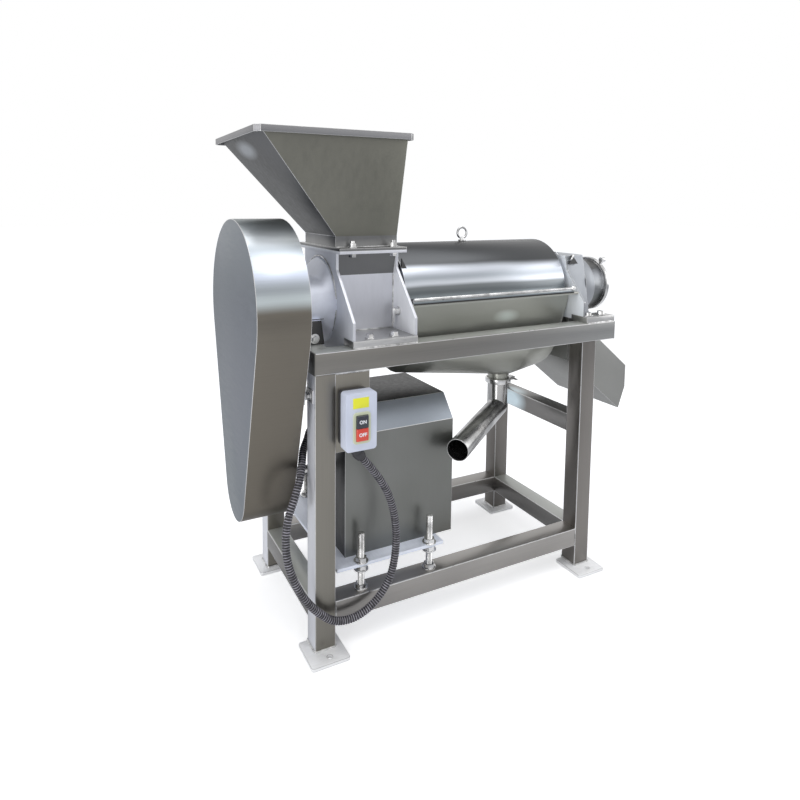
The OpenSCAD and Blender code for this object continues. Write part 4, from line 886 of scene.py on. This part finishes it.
# The augers' flights: a blade of five corners, each a radius and a place along the axis
FLIGHT_STEPS, FLIGHT_PARTS = 72, 16
FLIGHT_START, FLIGHT_END, FLIGHT_PITCH, FLIGHT_T = 130, 925, 110, 8
FLIGHT_PROFILE = ((23.5, 0), (43.2, 1.6), (44, 4), (43.2, 6.4), (23.5, FLIGHT_T))
flight_turns = (FLIGHT_END - FLIGHT_T - FLIGHT_START) / FLIGHT_PITCH
for name, y, hand in (("auger_flight_front", FRONT_Y, 1), ("auger_flight_rear", REAR_Y, -1)):
    bm = bmesh.new()
    rows = []
    for n in range(int(flight_turns * FLIGHT_PARTS) * FLIGHT_STEPS // FLIGHT_PARTS + 1):
        a = 2 * math.pi * n / FLIGHT_STEPS
        x = FLIGHT_START + FLIGHT_PITCH * n / FLIGHT_STEPS
        rows.append([bm.verts.new(spot(x + dx, y + hand * r * math.cos(a), AXIS_Z + r * math.sin(a)))
                     for r, dx in FLIGHT_PROFILE])
        if n:
            strip(bm, rows[-2], rows[-1])
    bm.faces.new(rows[0])
    bm.faces.new(rows[-1])
    bmesh.ops.recalc_face_normals(bm, faces=bm.faces)
    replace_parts(piece(name + "_finished", bm, BRIGHT, BODY_OF[name], smooth=50), name)

# Feed end and hopper

LEFT_YOKE_END, RIGHT_YOKE_START = 120, 280
THROAT_FOOT, NECK_TOP = 1030, 1139
THROAT_LEAN, HOPPER_LEAN = -0.05, -0.5


def left_yoke(face):
    return faces_left(face) and middle_of(face).x < LEFT_YOKE_END


def right_yoke(face):
    return faces_left(face) and middle_of(face).x > RIGHT_YOKE_START


def throat_front(face):
    leaning = abs(face.normal.y) > LOOKING and face.normal.z < THROAT_LEAN
    return leaning and middle_of(face).z > THROAT_FOOT


def hopper_neck(face):
    return middle_of(face).z < NECK_TOP


def hopper_left(face):
    return face.normal.x < HOPPER_LEAN


dressed("feed_housing", YOKE, 0.8, EDGE, faces=[
    (left_yoke, YOKE_LEFT), (right_yoke, YOKE_RIGHT), (throat_front, THROAT)])
for name in ("feed_base_plates", "end_base_plates"):
    dressed(name, PLATE, 1.0, EDGE)
dressed("lock_bolts", BRIGHT, 1.0)
dressed("hopper", HOPPER, 0.8, EDGE, faces=[(hopper_neck, HOPPER_NECK), (hopper_left, HOPPER_LEFT)])
dressed("hopper_rim", RIM, 0.8, EDGE)
for name in ("hopper_bolts", "base_bolts", "stud_nuts"):
    dressed(name, BRIGHT, 1.0)

STUD_FOOT, STUD_TOP, STUD_RADIUS = 140, 305, 10
studs = bmesh.new()
for x in (151, 378):
    for y in (30, 470):
        threaded_rod(studs, (x, y, STUD_FOOT), (x, y, STUD_TOP), STUD_RADIUS)
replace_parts(piece("stud_threads", studs, BRIGHT, "machine", smooth=60), "adjusting_studs")

BOLT_END_FOOT, BOLT_END_TOP, BOLT_END_RADIUS = 1119, 1125.5, 6
threads = bmesh.new()
for x in (155.2, 285.9):
    for y in (104, 396):
        threaded_rod(threads, (x, y, BOLT_END_FOOT), (x, y, BOLT_END_TOP), BOLT_END_RADIUS,
                     pitch=1.6, depth=0.5, sides=16)
piece("hopper_bolt_ends", threads, BRIGHT, "machine", smooth=60)

# Seams at the feet of both yoke plates, along the base plates, in the housing's corners and at
# the foot of its panels, under the joint flange, at the end housing's foot and round the dish
YOKE_SEAM_START, YOKE_SEAM_END = 10, 68
CORNER_LEFT, CORNER_RIGHT, CORNER_TOP = 122, 305, 1022
PLATE_SEAM_IN, PLATE_SEAM_UP = 3.6, 1
PANEL_OUT, THROAT_OUT, END_OUT = 110.8, 122.4, 227.5
THROAT_SEAM_START, THROAT_SEAM_END, THROAT_SEAM_Z = 114, 310, 1106.8
END_SEAM_START, END_SEAM_END = 969, 1006
DISH_X, DISH_RADIUS, DISH_STEPS = 112, 129.4, 240
DISH_SWELL, DISH_WAIST = 0.0022, 0.0017
seams = bmesh.new()
for x in (FEED_X + YOKE_T + 0.8, FEED_END + 0.8):
    weld(seams, (x, YOKE_SEAM_START, PLATE_Z + 0.8), (x, YOKE_SEAM_END, PLATE_Z + 0.8), 2.2)
for y in (PLATE_SEAM_IN, FRAME_W - PLATE_SEAM_IN):
    for start, end in ((FEED_X + 2, FEED_END - 2), (END_X, END_PLATE_END)):
        weld(seams, (start, y, FRAME_H + PLATE_SEAM_UP), (end, y, FRAME_H + PLATE_SEAM_UP), 2.4)
for y in (MID_Y - PANEL_OUT, MID_Y + PANEL_OUT):
    for x, radius in ((CORNER_RIGHT, 2.6), (CORNER_LEFT, 2.2)):
        weld(seams, (x, y, PLATE_Z + 3), (x, y, CORNER_TOP), radius)
    weld(seams, (CORNER_LEFT + 2, y, PLATE_Z + 1), (CORNER_RIGHT - 2, y, PLATE_Z + 1), 2.0)
for y in (MID_Y - THROAT_OUT, MID_Y + THROAT_OUT):
    weld(seams, (THROAT_SEAM_START, y, THROAT_SEAM_Z), (THROAT_SEAM_END, y, THROAT_SEAM_Z), 2.0)
for y in (MID_Y - END_OUT, MID_Y + END_OUT):
    weld(seams, (END_SEAM_START, y, PLATE_Z + 1), (END_SEAM_END, y, PLATE_Z + 1), 2.0)
turns = [2 * math.pi * k / DISH_STEPS for k in range(DISH_STEPS + 1)]
path = [spot(DISH_X, MID_Y + DISH_RADIUS * math.cos(a), AXIS_Z + DISH_RADIUS * math.sin(a)) for a in turns]
sweep(seams, path, [DISH_SWELL if k % 2 else DISH_WAIST for k in range(DISH_STEPS + 1)], WELD_SIDES)
piece("yoke_welds", seams, WELD, "machine")

# Hood, tank and outlet

dressed("hood", HOOD, 0.8, EDGE)
for name in ("lifting_eye", "hood_knuckles", "tank_knuckles", "outlet_clamp"):
    dressed(name, BRIGHT, 0.6)
dressed("juice_screen", PLATE, 0)
dressed("juice_tank", TANK, 0.8, EDGE)
dressed("outlet_pipe", PIPE, 0.5, EDGE)

# The rail with its ball end and two feet, and a small mark on the crown of the hood
RAIL_START, RAIL_END, RAIL_Y, RAIL_Z = 325, 937, 47.5, 953.5
RAIL_RADIUS, RAIL_SIDES, RAIL_BALL = 4.5, 20, 8.5
FOOT_HALF, FOOT_FRONT, FOOT_REAR, FOOT_LOW, FOOT_HIGH = 2, 47, 84, 948, 956
CROWN_MARK = ((337, 246, 1105.5), (339, 254, 1106.9))
rail = bmesh.new()
rod_into(rail, (RAIL_START, RAIL_Y, RAIL_Z), (RAIL_END, RAIL_Y, RAIL_Z), RAIL_RADIUS, RAIL_SIDES)
ball = bmesh.ops.create_uvsphere(rail, u_segments=20, v_segments=14, radius=RAIL_BALL / 1000)["verts"]
bmesh.ops.translate(rail, vec=spot(RAIL_END, RAIL_Y, RAIL_Z), verts=ball)
for x in (RAIL_START, RAIL_END - 1):
    box_into(rail, (x - FOOT_HALF, FOOT_FRONT, FOOT_LOW), (x + FOOT_HALF, FOOT_REAR, FOOT_HIGH))
box_into(rail, *CROWN_MARK)
piece("hood_rail", rail, BRIGHT, "hood")

plate_lug("hood_lug", ((322.6, 1069), (322.6, 1036), (341, 1037)), 118, 123, "hood")

GASKET_START, GASKET_END, GASKET_LOW, GASKET_HIGH = 324, 939, 938.2, 942.6
gasket = bmesh.new()
for y0, y1 in ((44.0, 45.2), (454.8, 456)):
    box_into(gasket, (GASKET_START, y0, GASKET_LOW), (GASKET_END, y1, GASKET_HIGH))
piece("seam_gasket", gasket, GASKET, "machine")

# Residue end

SHACKLE_STEPS, SHACKLE_SIDES = 28, 10
DRUM_NECK_END = 1080.5


def ring_loop(middle, radius, wire, tilt):
    """A closed ring of round wire, turned by the angles of tilt about X, Y and Z."""
    bm = bmesh.new()
    rows = []
    for n in range(SHACKLE_STEPS):
        a = 2 * math.pi * n / SHACKLE_STEPS
        out = Vector((math.cos(a), 0, math.sin(a)))
        row = []
        for k in range(SHACKLE_SIDES):
            b = 2 * math.pi * k / SHACKLE_SIDES
            at = out * (radius + wire * math.cos(b)) + Vector((0, wire * math.sin(b), 0))
            row.append(bm.verts.new(Euler(tilt).to_matrix() @ at / 1000 + spot(*middle)))
        rows.append(row)
    for n in range(SHACKLE_STEPS):
        strip(bm, rows[n - 1], rows[n])
    bmesh.ops.recalc_face_normals(bm, faces=bm.faces)
    return bm


def drum_neck(face):
    return middle_of(face).x < DRUM_NECK_END


dressed("end_housing", END_PLATE, 0.8, EDGE, faces=[(faces_left, END_YOKE)])
dressed("end_drum", DRUM, 0.8, EDGE, faces=[(drum_neck, END_PLATE)])
dressed("drum_ring", BRIGHT, 0.8)
dressed("residue_chute", CHUTE, 0.8, EDGE)
shackle = ring_loop(middle=(979, 101.5, 1050), radius=11, wire=2.8, tilt=(0.5, 0, 0.9))
piece("end_shackle", shackle, BRIGHT, "machine")
plate_lug("end_lug", ((982, 1058), (968.5, 1029), (1006, 1029)), 100, 110, "machine")

# Switch

BOX_X = 110
BACK_FRONT, BEZEL_BACK, GLAND_TOP = -19.8, -55.2, 580.5
BEZEL_HALF, POCKET_HALF, POCKET_FOOT, POCKET_TOP = 26.2, 18, 609, 680


def behind_cover(face):
    return middle_of(face).y > BACK_FRONT


def bezel_face(face):
    middle = middle_of(face)
    return middle.y < BEZEL_BACK and abs(middle.x - BOX_X) < BEZEL_HALF


def in_pocket(face):
    middle = middle_of(face)
    inside = abs(middle.x - BOX_X) < POCKET_HALF and POCKET_FOOT < middle.z < POCKET_TOP
    return inside and middle.y > BEZEL_BACK and face.normal.y > -LOOKING


def gland(face):
    return middle_of(face).z < GLAND_TOP


dressed("switch_box", CASE, 2.4, faces=[
    (gland, CASE_BACK), (behind_cover, CASE_BACK), (bezel_face, BEZEL), (in_pocket, CASE_BACK)], steps=3)

# Both buttons are squares of the same size: name, foot, finish and word
BUTTON_SIDE, BUTTON_FRONT, BUTTON_BACK = 34, -64.4, -40
BUTTONS = (("on_button", 644.3, ON_PLASTIC, "ON"), ("off_button", 610, OFF_PLASTIC, "OFF"))
for name, z, finish, word in BUTTONS:
    bm = bmesh.new()
    box_into(bm, (BOX_X - BUTTON_SIDE / 2, BUTTON_FRONT, z),
             (BOX_X + BUTTON_SIDE / 2, BUTTON_BACK, z + BUTTON_SIDE))
    round_edges(bm, 2.0, 3)
    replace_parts(piece(name + "_finished", bm, finish, name), name)

LETTER_SIZE, LETTER_DEPTH, LETTER_BOLD, LETTER_Y = 0.013, 0.0007, 0.0004, -64.6


def letters(name, word, z, body):
    """White letters that stand in the front of a button."""
    curve = bpy.data.curves.new(name, "FONT")
    curve.body = word
    curve.size = LETTER_SIZE
    curve.align_x = "CENTER"
    curve.align_y = "CENTER"
    curve.extrude = LETTER_DEPTH / 2
    curve.offset = LETTER_BOLD
    curve.resolution_u = 4
    shown = bpy.data.objects.new(name, curve)
    bpy.context.scene.collection.objects.link(shown)
    bpy.context.view_layer.update()
    cut = bpy.data.meshes.new_from_object(shown.evaluated_get(bpy.context.evaluated_depsgraph_get()))
    bpy.data.objects.remove(shown)
    bpy.data.curves.remove(curve)
    bm = bmesh.new()
    bm.from_mesh(cut)
    bpy.data.meshes.remove(cut)
    upright = Matrix.Rotation(math.radians(90), 3, "X")
    bmesh.ops.rotate(bm, cent=(0, 0, 0), matrix=upright, verts=bm.verts)
    bmesh.ops.translate(bm, vec=spot(BOX_X, LETTER_Y, z), verts=bm.verts)
    bmesh.ops.remove_doubles(bm, verts=bm.verts, dist=1e-6)
    bmesh.ops.recalc_face_normals(bm, faces=bm.faces)
    piece(name, bm, LETTER, body)


for button, z, finish, word in BUTTONS:
    letters(word.lower() + "_letters", word, z + BUTTON_SIDE / 2, button)

plate = bmesh.new()
box_into(plate, (85, -56.1, 697), (131, -54.6, 725))
round_edges(plate, 0.5, 2)
piece("rating_plate", plate, LABEL, "machine")

# The nut of the gland: how far each part stands back from the conduit's start, its radius and its sides
NUT_HALF = 0.0055
nut = bmesh.new()
start = conduit_path[0]
ahead = (conduit_path[4] - start).normalized()
for back, radius, sides in ((0.008, 16.5, 12), (0, 14.5, 32)):
    bar(nut, start - ahead * (back + NUT_HALF), start - ahead * (back - NUT_HALF), radius, sides)
round_edges(nut, 0.7, 2)
piece("gland_nut", nut, CASE_BACK, "machine")
